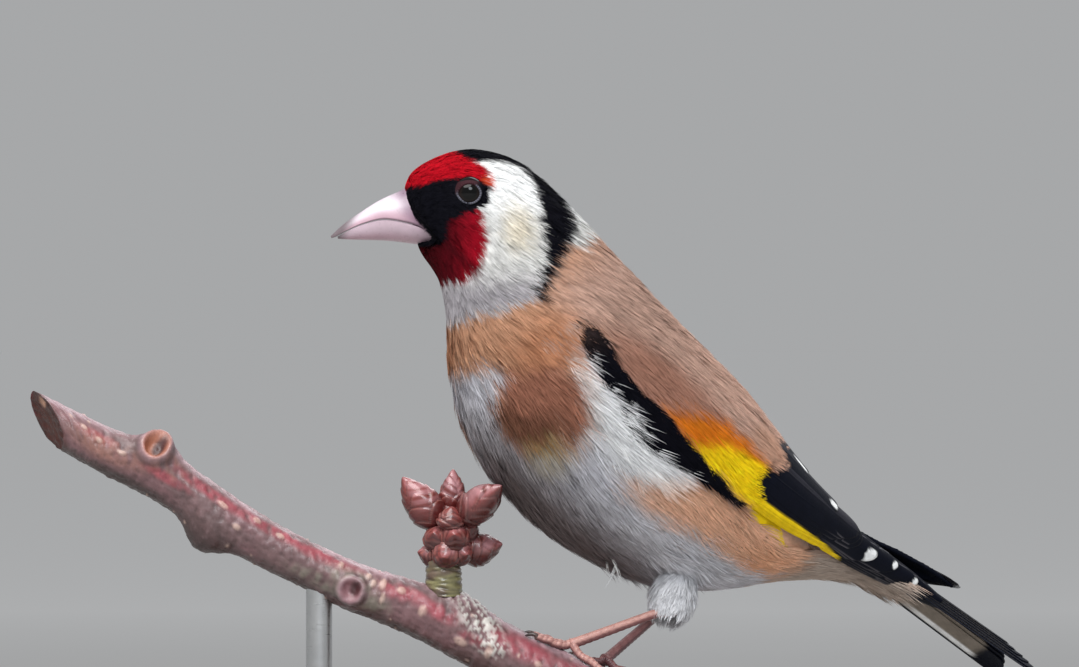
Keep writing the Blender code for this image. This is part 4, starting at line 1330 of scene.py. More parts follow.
def quill_colour(u, degrees):
    """A flight feather's ground colour by its place on the folded wing."""
    chart = np.stack([u, degrees], -1) * (SECTION_MM, DEGREE_MM)
    colours = np.broadcast_to(np.asarray(BLUE_BLACK), (*u.shape, 3)).copy()
    return paint(colours, region(chart, on_chart(BAR), 0.5), YELLOW)


# Feathers of the folded wing, lowest first: name, centre line (section, degrees), half width in mm, level
# in mm, where the shaft runs across the feather, and the white spot near the tip: its length in mm, its
# middle across the feather and its half width there.
WING_FEATHERS = [
    ("primary_6", [(11.6, 92), (13.0, 91), (14.4, 93), (16.6, 107), (18.95, 107)], 2.1, -0.92, 0.5, (0.8, 0.0, 0.6)),
    ("primary_5", [(11.6, 91), (13.0, 90), (14.5, 92), (16.6, 104), (18.6, 104)], 2.1, -0.84, 0.5, None),
    ("primary_4", [(11.6, 90), (13.0, 89), (14.5, 90), (16.4, 100), (18.15, 102)], 2.0, -0.76, 0.45, None),
    ("primary_3", [(11.6, 89), (13.0, 88), (14.5, 87.5), (16.2, 95), (17.65, 99)], 1.9, -0.68, 0.45, None),
    ("primary_2", [(11.6, 90), (13.0, 87), (14.5, 86), (16.0, 90), (17.1, 93)], 1.9, -0.60, 0.4, (1.6, 0.0, 0.45)),
    ("primary_1", [(11.6, 88), (13.0, 85), (14.5, 82), (15.5, 82), (16.3, 83)], 2.0, -0.52, 0.4, (1.8, -0.1, 0.4)),
    ("secondary_4", [(11.4, 84), (13.0, 81), (14.2, 82), (15.3, 88)], 2.1, -0.44, 0.2, None),
    ("secondary_3", [(11.4, 81), (13.0, 79), (14.2, 80), (15.6, 84)], 2.2, -0.37, 0.1, (2.5, 0.2, 0.55)),
    ("secondary_2", [(11.4, 77), (13.0, 76), (14.2, 75), (15.0, 73)], 2.3, -0.30, 0.0, None),
    ("secondary_1", [(11.3, 72), (13.0, 71), (14.2, 70), (14.9, 68)], 2.4, -0.23, 0.0, None),
    ("tertial_3", [(11.2, 62), (12.4, 61), (13.6, 61), (14.8, 64)], 3.0, -0.15, 0.0, None),
    ("tertial_2", [(11.1, 48), (12.2, 45), (13.2, 44), (13.95, 49)], 3.4, -0.08, 0.0, (2.8, 0.15, 0.24)),
    ("tertial_1", [(11.0, 28), (11.8, 26), (12.5, 26), (12.95, 30)], 3.6, 0.0, 0.0, (5.2, 0.70, 0.20)),
]
FAR_WING_LEAN = 60.0  # degrees by which the right wing's tip is turned up, towards the back
PALE_TIP = 1.3  # mm at the tip of the longest flight feather
FEATHER_ROOTS, FEATHERS_OUT, ROOT_SINK = 11.3, 12.3, 0.9  # they come out from under the coat between these


def vane(gather, place, length, half_width, tint_at, shaft=0.0, tip_round=0.12, root_width=0.45, nicks=()):
    """One flight feather: a thin two-faced vane with a raised shaft. place(s, across mm, lift) gives points
    for a share s of its length, and tint_at(s, v, face) its colours."""
    ribs = np.linspace(-1, 1, VANE_RIBS)
    near_shaft = shaft + np.array([-0.05, 0.0, 0.05])
    far_ribs = ribs[np.abs(ribs - shaft) > 0.09]
    v = np.sort(np.concatenate([far_ribs, near_shaft]))[None, :]
    rows = max(16, int(length / 0.55))
    s = np.linspace(0, 1, rows)[:, None]
    reach = s * (1 - tip_round * np.abs(v) ** 2.4)
    swell = root_width + (1 - root_width) * smooth_step(s / 0.35)
    nick = sum((0.22 * np.exp(-(((s - at) / 0.012) ** 2)) * (np.sign(v) == way) for at, way in nicks), 0 * s * v)
    across = v * half_width * swell * (1 - nick * np.abs(v) ** 4)
    ridge = 0.07 * np.exp(-(((v - shaft) / 0.04) ** 2)) * (1 - 0.6 * s)
    camber = -0.10 * v**2 * half_width / 2
    thin = VANE_THICK * (1 - 0.6 * np.abs(v) ** 4)
    outer = place(reach, across, camber + ridge)
    inner = place(reach, across, camber - thin - 0.5 * ridge)
    points, quads = shell_parts(outer, inner)
    tints = np.vstack([tint_at(reach, v + 0 * s, face).reshape(-1, 3) for face in ("outer", "inner")])
    barbs = np.stack([reach * length - 0.9 * np.abs(across), 0 * across, 0 * across], -1).reshape(-1, 3)
    chart = np.stack([reach, 0.5 + 0.5 * v + 0 * s], -1).reshape(-1, 2)
    gather.add_vane(points, quads, tints, np.vstack([barbs, barbs]), chart)


class Vanes(Gather):
    """Vanes gathered into one mesh, each with its own strip of the map."""

    def __init__(self):
        super().__init__()
        self.barbs, self.charts, self.owners = [], [], []

    def add_vane(self, points, quads, tints, barbs, chart):
        self.add(points, quads, tint=tints)
        self.barbs.append(barbs)
        self.charts.append(chart)

    def make(self, name, material):
        piece = super().make(name, material)
        layer = piece.data.attributes.new(name="barbs", type="FLOAT_VECTOR", domain="POINT")
        layer.data.foreach_set("vector", np.vstack(self.barbs).astype(np.float32).ravel())
        strips = 2 * len(self.charts)
        places = []
        for number, chart in enumerate(self.charts):
            for face in range(2):
                row = (2 * number + face + 0.5 + 0.9 * (chart[:, 1] - 0.5)) / strips
                places.append(np.stack([0.02 + 0.96 * chart[:, 0], row], -1))
        set_map(piece, np.vstack(places))
        return piece


def make_wing(side, seed):
    rng = np.random.default_rng(seed)
    sign = SIDES[side]
    wing = Vanes()
    for name, centre, half_width, level, shaft, spot in WING_FEATHERS:
        centre = np.asarray(centre, float)
        if side == "right":
            centre[:, 1] -= FAR_WING_LEAN * smooth_step((centre[:, 0] - 15.5) / 3.0)
        ends = wing_face(centre[:, 0], np.radians(centre[:, 1]) * sign)
        length = np.linalg.norm(np.diff(ends, axis=0), axis=1).sum()

        def place(s, across, lift, centre=centre, level=level):
            line = spline(centre, s * (len(centre) - 1))
            u, angle = line[..., 0], np.radians(line[..., 1]) * sign
            step = 0.02
            mm_by_angle = np.linalg.norm(hull_face(u, angle + step) - hull_face(u, angle), axis=-1) / step
            sunk = ROOT_SINK * (1 - smooth_step((u - FEATHER_ROOTS) / (FEATHERS_OUT - FEATHER_ROOTS)))
            return wing_face(u, angle + sign * across / mm_by_angle, level + lift - sunk)

        def tint_at(s, v, face, centre=centre, length=length, half_width=half_width, name=name, spot=spot):
            line = spline(centre, s * (len(centre) - 1))
            degrees = line[..., 1] + v * half_width / DEGREE_MM
            if not name.startswith("tertial"):
                colours = quill_colour(line[..., 0], degrees)
            else:
                colours = np.broadcast_to(np.asarray(BLUE_BLACK), (*s.shape, 3)).copy()
            from_tip = (1 - s) * length
            if name.startswith("tertial"):
                colours = paint(colours, 0.45 * smooth_step((0.3 - v) / 0.9), TERTIAL_GREY)
            edge = smooth_step((np.abs(v) - 0.9) / 0.1) * smooth_step((s - 0.5) / 0.3)
            colours = paint(colours, 0.35 * edge, PALE_EDGE)
            if name == "primary_6":
                colours = paint(colours, smooth_step((PALE_TIP - from_tip) / 0.4), WHITE)
            if spot:
                long, middle, half = spot
                away = np.hypot((from_tip - long / 2) / (long / 2 + 0.1), (v - middle) / half)
                colours = paint(colours, smooth_step((1.12 - away) / 0.24), WHITE)
            if face == "inner":
                colours = paint(colours, np.full(s.shape, 0.5), UNDER_GREY)
            return colours

        nicks = [(rng.uniform(0.5, 0.95), way) for way in (-1, 1)]
        vane(wing, place, length, half_width, tint_at, shaft=shaft, nicks=nicks)
    attach(wing.make("flight_feathers_" + side, MATERIALS["quill"]), "plumage")


TAIL_FEATHERS = 6  # to each side
TAIL_SHORT = 1.0  # mm from the longest feather to the end of the tail's solid
TAIL_GREY = (0.24, 0.205, 0.17)


def make_tail():
    tail = Vanes()
    length_all = tail_frame()[3]
    for number in reversed(range(TAIL_FEATHERS)):
        share = number / (TAIL_FEATHERS - 1)
        for sign in SIDES.values():
            length = length_all - TAIL_NOTCH * (1 - share) ** 1.3 - TAIL_SHORT
            half_width = 1.75 - 0.25 * share
            base_x, tip_x = 0.35 + 2.3 * share, 1.30 + 3.15 * share
            level = 0.42 - 0.85 * share + 0.03 * sign

            def place(s, across, lift, sign=sign, length=length, base_x=base_x, tip_x=tip_x, level=level):
                x = sign * (base_x + (tip_x - base_x) * s + across)
                return tail_points(s * length, x, level + lift)

            def tint_at(s, v, face, share=share, length=length):
                colours = np.broadcast_to(np.asarray(BLUE_BLACK), (*s.shape, 3)).copy()
                dark_end = smooth_step((s - 0.80) / 0.05)
                if face == "inner":
                    colours = paint(colours, 1 - dark_end, TAIL_GREY)
                    bar = smooth_step((0.05 - np.abs(s - 0.33 - 0.05 * v)) / 0.02) * smooth_step((0.2 - v) / 0.3)
                    colours = paint(colours, 0.7 * bar * (share > 0.5), BLUE_BLACK)
                if share == 1.0:
                    colours = paint(colours, smooth_step((v - 0.78) / 0.08), BLUE_BLACK)
                if share > 0.7 and face == "inner":
                    stripe = smooth_step((v - 0.36) / 0.12) * smooth_step((0.84 - v) / 0.1)
                    widening = smooth_step((s - 0.24) / 0.25)
                    colours = paint(colours, stripe * widening * (1 - dark_end), WHITE)
                tip = smooth_step((s * length - length + 0.7) / 0.3) * (share < 0.3)
                return paint(colours, tip, WHITE)

            vane(tail, place, length, half_width, tint_at, shaft=0.45, tip_round=0.07, root_width=0.6)
    attach(tail.make("tail_feathers", MATERIALS["quill"]), "plumage")


# Legs and feet

TARSUS_RADIUS, TOE_RADIUS, CLAW_RADIUS = 0.75, 0.62, 0.34
# Where each toe ends on the twig, hind toe first: along, degrees.
TOE_ENDS = {
    "left": [(7.5, 48.0), (-3.2, 22.0), (-3.6, -22.0), (-1.6, -50.0)],
    "right": [(12.4, -24.0), (2.2, -30.0), (2.4, -66.0), (4.6, -96.0)],
}
FOOT_LIFT = 0.55  # from the bark to the underside of the tarsus
CLAW_REACH = 0.30  # how much further than its toe a claw goes, as a share of the toe
# The right leg's colours are darker than the left's: painted shade, as that leg stands in shadow.
LEG_PINK = {"left": (0.37, 0.165, 0.150), "right": (0.21, 0.080, 0.080)}
LEG_PALE = {"left": (0.58, 0.32, 0.27), "right": (0.33, 0.16, 0.155)}
LEG_DARK = (0.075, 0.025, 0.032)
CLAW_BROWN, CLAW_TIP = (0.12, 0.075, 0.065), (0.03, 0.02, 0.02)


def scaly_tube(gather, path, radii, sides, period, pale, ground, over, joints):
    """A closed tube with plates that overlap along its upper side and small pads below. Joints says how dark
    the lines between the plates are."""
    path = np.asarray(path, float)
    steps = np.linalg.norm(np.diff(path, axis=0), axis=1)
    run = np.concatenate([[0], np.cumsum(steps)])
    rings = tube_rings(path, 1.0, sides)
    spokes = rings - path[:, None]
    along = np.gradient(path, axis=0)
    along /= np.linalg.norm(along, axis=1)[:, None]
    upward = np.asarray(over, float) - along * (along @ np.asarray(over, float))[:, None]
    upward /= np.linalg.norm(upward, axis=1)[:, None]
    high = np.einsum("ijk,ik->ij", spokes, upward)
    place = (run / period)[:, None] + 0.12 * np.cos(np.arccos(np.clip(high, -1, 1)) * 2)
    saw = place % 1.0
    plate = smooth_step(high / 0.5 + 0.4)
    joint = np.exp(-((np.minimum(saw, 1 - saw) / 0.11) ** 2))
    relief = plate * joints * (0.13 * saw - 0.17 * joint) + (1 - plate) * 0.04 * np.sin(place * 4 * np.pi)
    points = path[:, None] + spokes * (np.asarray(radii)[:, None] * (1 + relief))[..., None]
    banding = min(1.0, 3 * joints)
    light = plate * (1 - banding * (1 - smooth_step((saw - 0.15) / 0.6)))
    # Paler plates on the upper side: partly the plates' own colour, partly painted highlight.
    tone = paint(np.broadcast_to(np.asarray(ground), (*saw.shape, 3)), 0.75 * light, pale)
    tone = paint(tone, joints * joint * plate, LEG_DARK)
    # Painted shade: the underside, away from the plates, darkened.
    tone = paint(tone, 0.55 * (1 - plate), LEG_DARK)
    body, quads, caps = loft_parts(points)
    gather.add(body, quads, caps, tint=np.vstack([tone.reshape(-1, 3), tone[0, :1], tone[-1, :1]]))


def curve(points, count):
    return spline(points, np.linspace(0, len(points) - 1, count))


def make_foot(side):
    leg = LEGS[side]
    start = np.array(leg["foot"])
    ankle, hem = np.array(leg["ankle"]), np.array(leg["hem"])
    foot = twig_point(*start, TARSUS_RADIUS + FOOT_LIFT)
    shin = foot - ankle
    inside_thigh = ankle + (hem - ankle) * 0.5 - shin * 0.06
    path = curve([inside_thigh, ankle, ankle + shin * 0.5, foot - shin * 0.06, foot], 130)
    t = np.linspace(0, 1, len(path))
    radii = TARSUS_RADIUS * np.interp(t, [0.0, 0.3, 0.75, 1.0], [0.95, 0.82, 0.95, 1.25])
    skin = Gather()
    front = np.cross(shin, np.cross((0.0, -0.4, 1.0), shin))
    front = front / np.linalg.norm(front)
    scaly_tube(skin, path, radii, 30, 1.9, LEG_PALE[side], LEG_PINK[side], front, 0.10)
    claws = Gather()
    for number, end in enumerate(TOE_ENDS[side]):
        end = np.array(end)
        reach = np.linalg.norm(twig_point(*end) - twig_point(*start))
        t = np.linspace(0, 1, 80)
        knuckles = 3 if number else 2
        bend = np.abs(np.sin(np.pi * knuckles * t)) ** 2
        lifts = TOE_RADIUS * (0.80 + 0.25 * (1 - bend) * smooth_step((0.9 - t) / 0.3))
        lifts = lifts + (TARSUS_RADIUS + FOOT_LIFT - TOE_RADIUS) * (1 - smooth_step(t / 0.35))
        path = np.array([twig_point(*(start + (end - start) * k), lift) for k, lift in zip(t, lifts)])
        radii = TOE_RADIUS * (0.98 - 0.22 * t) * (1 - 0.08 * bend)
        over = path[len(path) // 2] - twig_point(*(start + (end - start) * 0.5), -2.0)
        over = over / np.linalg.norm(over)
        scaly_tube(skin, path, radii, 24, 0.72, LEG_PALE[side], LEG_PINK[side], over, 0.30)
        t = np.linspace(0.97, 1 + CLAW_REACH, 40)
        s = np.linspace(0, 1, 40)
        rise = TOE_RADIUS * 0.6 + 0.45 * np.sin(np.pi * s**0.85) - 0.45 * s
        path = np.array([twig_point(*(start + (end - start) * k), lift) for k, lift in zip(t, rise)])
        radii = CLAW_RADIUS * (1 - s) ** 0.55 * (1 + 0.25 * np.exp(-((s / 0.2) ** 2))) + 0.03
        rings = tube_rings(path, radii, 20)
        tone = paint(np.broadcast_to(np.asarray(CLAW_BROWN), (40, 3)), smooth_step(s * 1.3), CLAW_TIP)
        tones = np.vstack([np.repeat(tone, 20, axis=0), tone[:1], tone[-1:]])
        body, quads, caps = loft_parts(rings)
        claws.add(body, quads, caps, tint=tones)
    toes = [f"toe_{side}_{number}" for number in range(1, 5)]
    attach(skin.make("foot_" + side, MATERIALS["leg"]), "leg", "tarsus_" + side, *toes)
    names = [f"claw_{side}_{number}" for number in range(1, 5)]
    attach(claws.make("claws_" + side, MATERIALS["claw"]), "claw", *names)


# The twig

TWIG_HEADING = np.array([math.sin(math.radians(33.0)), math.cos(math.radians(33.0)), 0.0])
TWIG_ASIDE = np.array([TWIG_HEADING[1], -TWIG_HEADING[0], 0.0])
TWIG_OFFSET = -3.0  # mm from the origin, against TWIG_ASIDE
# The twig's middle: distance along its heading, height and radius.
TWIG = [
    (-68.6, 84.0, 2.8),
    (-61.0, 80.0, 3.05),
    (-55.5, 77.5, 3.3),
    (-50.0, 74.4, 3.3),
    (-41.8, 68.8, 3.3),
    (-33.6, 64.4, 3.1),
    (-25.3, 60.6, 3.3),
    (-15.8, 57.0, 3.7),
    (2.1, 47.8, 4.2),
    (14.4, 43.3, 4.3),
    (26.7, 37.7, 4.1),
]
# Knobs on the bark: distance along, degrees from its top towards its left side, height and spread in mm.
KNOBS = [
    (-54.6, 20.0, 2.2, 2.6),
    (-44.6, 165.0, 2.4, 2.4),
    (-26.2, 110.0, 0.8, 2.4),
    (-12.6, 0.0, 1.0, 3.0),
]
# Round scars: along, degrees, radius of the rim, how deep the middle is and how high the rim.
SCARS = [(-54.9, 38.0, 1.75, 1.5, 0.55), (-26.3, 98.0, 1.5, 0.8, 0.45)]
CUT_MIDDLE, CUT_HIGH, CUT_NEAR, CUT_FADE = -68.3, 2.7, 1.95, 9.0
CUT_RISE = 0.5  # how much the twig climbs for each mm outwards, near the cut
TWIG_STEP, TWIG_SIDES = 0.26, 112


def twig_row(along):
    table = np.asarray(TWIG)
    return spline(table, np.interp(along, table[:, 0], np.arange(len(table))))


def off_scar(along, degrees, scar, radius):
    """How far places on the bark lie from a scar's middle, in mm."""
    turn = (degrees - scar[1] + 180.0) % 360.0 - 180.0
    return np.hypot(along - scar[0], np.radians(turn) * radius)


def twig_point(along, degrees, lift=0.0):
    """A point lift mm over the bark, at an angle from the twig's top towards its left side."""
    distance, z, radius = np.moveaxis(twig_row(np.asarray(along, float)), -1, 0)
    before, after = twig_row(np.asarray(along, float) - 1.0), twig_row(np.asarray(along, float) + 1.0)
    slope = np.arctan2(after[..., 1] - before[..., 1], after[..., 0] - before[..., 0])
    up = np.array([0.0, 0.0, 1.0])
    over = -TWIG_HEADING * np.sin(slope)[..., None] + up * np.cos(slope)[..., None]
    centre = TWIG_HEADING * distance[..., None] + TWIG_ASIDE * TWIG_OFFSET + up * z[..., None]
    angle = np.radians(degrees)
    bulge = 0.0
    for place, facing, height, spread in KNOBS:
        away = off_scar(along, degrees, (place, facing), radius)
        bulge = bulge + height * np.exp(-((away / spread) ** 2))
    spoke = np.cos(angle)[..., None] * over + np.sin(angle)[..., None] * TWIG_ASIDE
    return centre + (radius + bulge + lift)[..., None] * spoke


def ripple(points, size, seed, waves=9):
    """Smooth random height over points, about -1 to 1, with swells of a size in mm."""
    rng = np.random.default_rng(seed)
    total = np.zeros(points.shape[:-1])
    for _ in range(waves):
        heading = rng.normal(size=3)
        heading *= 2 * np.pi / (size * rng.uniform(0.7, 1.6) * np.linalg.norm(heading))
        total += np.sin(points @ heading + rng.uniform(0, 2 * np.pi))
    return total / math.sqrt(waves)


BARK_GREY = (0.136, 0.077, 0.079)
# dark bark, also used for painted shade below the twig and its knobs
BARK_DARK_AND_SHADE = (0.042, 0.024, 0.022)
BARK_RED = (0.29, 0.048, 0.066)
BARK_MAUVE = (0.25, 0.115, 0.130)
# pale film on the bark, also painted highlight along the twig's top
BARK_FILM_AND_HIGHLIGHT = (0.36, 0.24, 0.265)
BARK_GREEN = (0.20, 0.20, 0.15)
LICHEN = (0.62, 0.61, 0.56)
LENTICEL = (0.60, 0.42, 0.35)
STUB_ORANGE = (0.38, 0.13, 0.065)
STUB_DARK = (0.045, 0.012, 0.014)
WOOD_DARK = (0.050, 0.009, 0.006)
WOOD_PITH = (0.55, 0.30, 0.20)
PITH_SHARE = 0.62  # how far up the cut face the pith lies
# Patches along the camera's side of the twig: along, degrees, reach along and reach in degrees.
RED_RUNS = [
    (-62.0, 66, 3.0, 16), (-52.0, 84, 3.4, 13), (-46.5, 54, 5.5, 16), (-38.5, 48, 6.0, 17),
    (-31.0, 50, 5.0, 20), (-19.8, 64, 3.6, 22), (-14.4, 72, 3.2, 20), (-9.5, 92, 1.8, 12), (-4.0, 60, 5.0, 26),
    (6.0, 62, 8.0, 26), (18.0, 60, 9.0, 26),
]
GREEN_RUNS = [(-26.4, 78, 4.4, 30), (-22.8, 110, 3.0, 24), (-30.0, 112, 5.0, 22)]
KNOB_SHADE = [(-44.6, 165, 3.4, 70), (-57.0, 150, 8.0, 30)]
TAWNY, TAWNY_RUNS = (0.26, 0.115, 0.075), [(-61.0, 86, 7.0, 34), (-52.5, 60, 3.0, 30)]
CRUST = [(-9.8, 48, 3.0, 36), (-7.4, 84, 2.2, 26), (-12.0, 10, 3.6, 34)]
PALE_MARKS = [
    (-44.9, 62, 0.55, 0.35), (-40.6, 46, 0.45, 0.4), (-37.2, 52, 0.5, 0.35), (-28.7, 50, 0.3, 0.5),
    (-24.9, 52, 0.3, 0.5), (-22.4, 58, 0.45, 0.75), (-23.9, 66, 0.35, 0.5), (-21.8, 92, 0.3, 0.7),
    (-19.6, 60, 0.5, 0.5), (-16.6, 86, 0.3, 0.7), (-10.6, 108, 0.7, 0.5), (-7.2, 100, 0.35, 0.8),
    (-42.3, 88, 0.45, 0.35), (-61.8, 72, 0.5, 0.35), (-58.4, 78, 0.5, 0.3), (-1.6, 76, 0.4, 0.4),
    (-64.2, 58, 0.4, 0.3), (4.0, 84, 0.35, 0.5), (9.4, 58, 0.5, 0.4), (15.2, 88, 0.35, 0.5),
]


LOOSE_MARKS = 60


def runs(along, degrees, patches):
    share = np.zeros(np.broadcast(along, degrees).shape)
    for place, facing, reach, turn in patches:
        away = np.hypot((along - place) / reach, ((degrees - facing + 180) % 360 - 180) / turn)
        share = np.maximum(share, smooth_step(1.35 - away))
    return share


def pale_marks(along, degrees, radius, seed):
    """Lenticels: small raised ovals, the drawn ones and others scattered over the bark."""
    rng = np.random.default_rng(seed)
    marks = list(PALE_MARKS)
    for _ in range(LOOSE_MARKS):
        marks.append((rng.uniform(-67, 26), rng.uniform(-180, 180), rng.uniform(0.1, 0.2), rng.uniform(0.12, 0.3)))
    share = np.zeros(along.shape)
    for place, facing, half_long, half_wide in marks:
        turn = np.radians((degrees - facing + 180) % 360 - 180) * radius
        away = np.hypot((along - place) / half_long, turn / half_wide)
        share = np.maximum(share, smooth_step((1.5 - away) / 0.8))
    return share


def bark_looks(along, degrees, points):
    """How much the bark stands out at places, in mm, and its colours, with painted shade on its underside and painted
    highlight along its top.
    """
    radius = twig_row(along)[..., 2]
    rough = ripple(points, 1.5, 3)
    fine = ripple(points, 0.75, 4)
    broad = ripple(points, 6.0, 5)
    grain = ripple(points * 0.35 + np.stack([0 * along, 0 * along, radius * np.radians(degrees)], -1), 1.6, 6)
    colours = np.broadcast_to(np.asarray(BARK_GREY), (*points.shape[:-1], 3)) * (1 + 0.07 * rough[..., None])
    colours = paint(colours, 0.35 * smooth_step(0.5 + broad), BARK_MAUVE)
    facing = (degrees + 180) % 360 - 180
    # Painted shade: the twig's underside darkened.
    under = smooth_step((np.abs(facing - 20) - 100) / 45)
    colours = paint(colours, 0.8 * under, BARK_DARK_AND_SHADE)
    # Along the twig's top a pale film: partly the bark's own bloom, partly painted highlight from light above.
    top = smooth_step((38 + 6 * rough - np.abs(facing - 8)) / 22)
    colours = paint(colours, 0.75 * top * smooth_step(0.75 + 0.4 * broad), BARK_FILM_AND_HIGHLIGHT)
    red = runs(along, facing, RED_RUNS) * smooth_step(0.92 + 0.30 * rough + 0.20 * grain)
    far_red = smooth_step((0.2 + broad) * 1.2) * smooth_step((45 - np.abs(facing + 62)) / 25)
    colours = paint(colours, 0.85 * np.maximum(red, 0.8 * far_red), BARK_RED)
    colours = paint(colours, 0.6 * runs(along, facing, GREEN_RUNS) * smooth_step(0.7 + 0.4 * rough), BARK_GREEN)
    tawny = runs(along, facing, TAWNY_RUNS) * smooth_step(0.6 + 0.45 * rough + 0.3 * broad)
    colours = paint(colours, 0.55 * tawny, TAWNY)
    # Painted shade below the knobs.
    colours = paint(colours, 0.75 * runs(along, facing, KNOB_SHADE), BARK_DARK_AND_SHADE)
    specks = smooth_step((fine + 0.5 * rough - 0.8) / 0.3)
    colours = paint(colours, 0.10 * specks, BARK_FILM_AND_HIGHLIGHT)
    pits = smooth_step((-fine - 0.6 * rough - 0.9) / 0.3)
    colours = paint(colours, 0.22 * pits, BARK_DARK_AND_SHADE)
    crust = runs(along, facing, CRUST) * smooth_step((0.15 + fine + 0.3 * rough) / 0.5)
    colours = paint(colours, 0.75 * crust, LICHEN)
    marks = pale_marks(along, degrees, radius, 7)
    colours = paint(colours, 0.6 * marks, LENTICEL)
    stand_out = 0.05 * rough + 0.03 * fine + 0.05 * grain + 0.16 * marks + 0.14 * crust - 0.05 * pits
    for number, scar in enumerate(SCARS):
        away = off_scar(along, degrees, scar, radius)
        rim, deep, high = scar[2:]
        ring = np.exp(-(((away - rim) / 0.42) ** 2))
        hollow = smooth_step((rim - 0.25 - away) / 0.8)
        stand_out = stand_out + high * ring - deep * hollow
        wood = (STUB_ORANGE, BARK_MAUVE)[number]
        colours = paint(colours, 0.9 * smooth_step((rim + 0.15 - away) / 0.4), wood)
        colours = paint(colours, 0.45 * ring, BARK_FILM_AND_HIGHLIGHT)
        slit = np.hypot((along - scar[0] - 0.45) / 0.75, (facing - scar[1] + 6) * np.radians(radius) / 1.0)
        colours = paint(colours, 0.95 * smooth_step((1.3 - slit) / 0.7), STUB_DARK)
        edge = np.exp(-(((away - rim - 0.62) / 0.22) ** 2))
        colours = paint(colours, 0.5 * edge, BARK_DARK_AND_SHADE)
    collar = smooth_step((CUT_MIDDLE + 0.9 + 0.35 * rough - along) / 0.9)
    colours = paint(colours, 0.6 * collar, WOOD_DARK)
    tone = 1 + 0.10 * grain[..., None]
    return stand_out, np.clip(colours * tone, 0.004, 0.95)


def end_grain(rim, outward, rough, light):
    """A cut face inside a rim of points: rings of wood round a pale pith."""
    middle = rim.mean(0)
    shares = np.linspace(1, 0.05, 16)[:, None, None]
    face = middle + (rim - middle) * shares
    along = shares[..., 0] + 0 * rim[None, :, 0]
    rings = 0.5 + 0.5 * np.sin(along * 26 + 0.8 * ripple(face, 3.0, 12))
    face = face - outward * (0.55 * (1 - along) ** 0.5 + 0.12 * rough * ripple(face, 0.9, 11))[..., None]
    tone = paint(np.broadcast_to(np.asarray(WOOD_DARK), (*along.shape, 3)), 0.5 * rings * light, WOOD_PITH)
    tone = paint(tone, light * 0.5 * smooth_step((0.75 - along) / 0.5), WOOD_PITH)
    return face, tone


def make_perch():
    turns = np.linspace(0, 360, TWIG_SIDES, endpoint=False)[None, :]
    places = np.arange(CUT_MIDDLE, TWIG[-1][0], TWIG_STEP)[:, None]
    along, degrees = places + 0 * turns, turns + 0 * places
    bare = twig_point(along, degrees)
    stand_out, colours = bark_looks(along, degrees, bare)
    fade = 1 - smooth_step((along - CUT_MIDDLE) / CUT_FADE)
    angle = np.radians(degrees)
    slant = fade * (CUT_HIGH * np.cos(angle) - CUT_NEAR * np.sin(angle))
    outwards = -TWIG_HEADING + np.array([0.0, 0.0, CUT_RISE])
    points = twig_point(along, degrees, stand_out) + slant[..., None] * outwards
    start_face, start_tone = end_grain(points[0], -TWIG_HEADING, 1.0, 0.04)
    pith_place = points[0].mean(0) + PITH_SHARE * (points[0][0] - points[0].mean(0))
    pith = np.linalg.norm(start_face - pith_place, axis=-1)
    start_tone = paint(start_tone, 0.9 * smooth_step((1.2 - pith) / 0.8), WOOD_PITH)
    end_face, end_tone = end_grain(points[-1], TWIG_HEADING, 0.6, 0.9)
    rings = np.concatenate([start_face[:0:-1], points, end_face[1:]])
    tones = np.concatenate([start_tone[:0:-1], colours, end_tone[1:]])
    body, quads, caps = loft_parts(rings)
    twig = Gather()
    tints = np.vstack([tones.reshape(-1, 3), tones[0, :1], tones[-1, :1]])
    twig.add(body, quads, caps, tint=tints)
    attach(twig.make("perch_bark", MATERIALS["bark"]), "bark", "perch")


# Buds

BUD_STALK = [
    (-13.9, -3.0, 59.6, 2.6),
    (-13.9, -3.0, 66.0, 2.35),
    (-13.3, -2.9, 69.0, 2.2),
    (-12.9, -2.9, 72.0, 1.3),
]
# Buds on the stalk: base and tip as along, aside and height, half width, and how strong their painted highlight is.
BUDS = [
    ((-14.4, -3.0, 69.2), (-19.6, -3.0, 76.0), 2.45, 0.6),
    ((-12.9, -3.6, 71.0), (-12.6, -4.0, 77.1), 1.75, 0.9),
    ((-11.4, -1.6, 70.2), (-5.9, 3.6, 74.9), 2.35, 0.75),
    ((-12.4, -2.4, 67.4), (-12.4, 2.1, 68.2), 2.1, 0.35),
    ((-11.6, -3.4, 65.6), (-5.8, -3.4, 66.8), 2.3, 0.6),
]
# Small bare scales that fill the cluster: middle, the way the tip points, length and half width.
CLUSTER = [
    ((-14.8, -1.2, 67.6), (-0.3, 0.9, 0.5), 3.0, 1.5),
    ((-12.9, 0.0, 70.2), (0.1, 0.4, 1.0), 3.2, 1.5),
    ((-10.6, -1.6, 68.8), (0.8, 0.7, 0.3), 2.8, 1.4),
    ((-13.6, -0.2, 65.4), (-0.2, 0.8, -0.2), 2.6, 1.5),
    ((-11.4, -0.9, 65.6), (0.5, 0.8, -0.1), 2.6, 1.3),
    ((-15.9, -2.6, 65.4), (-1.0, 0.2, 0.2), 2.8, 1.1),
    ((-14.6, -4.8, 68.0), (-0.5, -0.9, 0.4), 3.0, 1.5),
    ((-12.2, -5.2, 69.2), (0.2, -0.8, 0.6), 3.0, 1.5),
]
BUD_RED = (0.105, 0.012, 0.011)
BUD_LIGHT = (0.24, 0.050, 0.044)
BUD_EDGE = (0.42, 0.20, 0.16)
# pale pink of the painted highlight on the buds
BUD_HIGHLIGHT = (0.50, 0.25, 0.27)
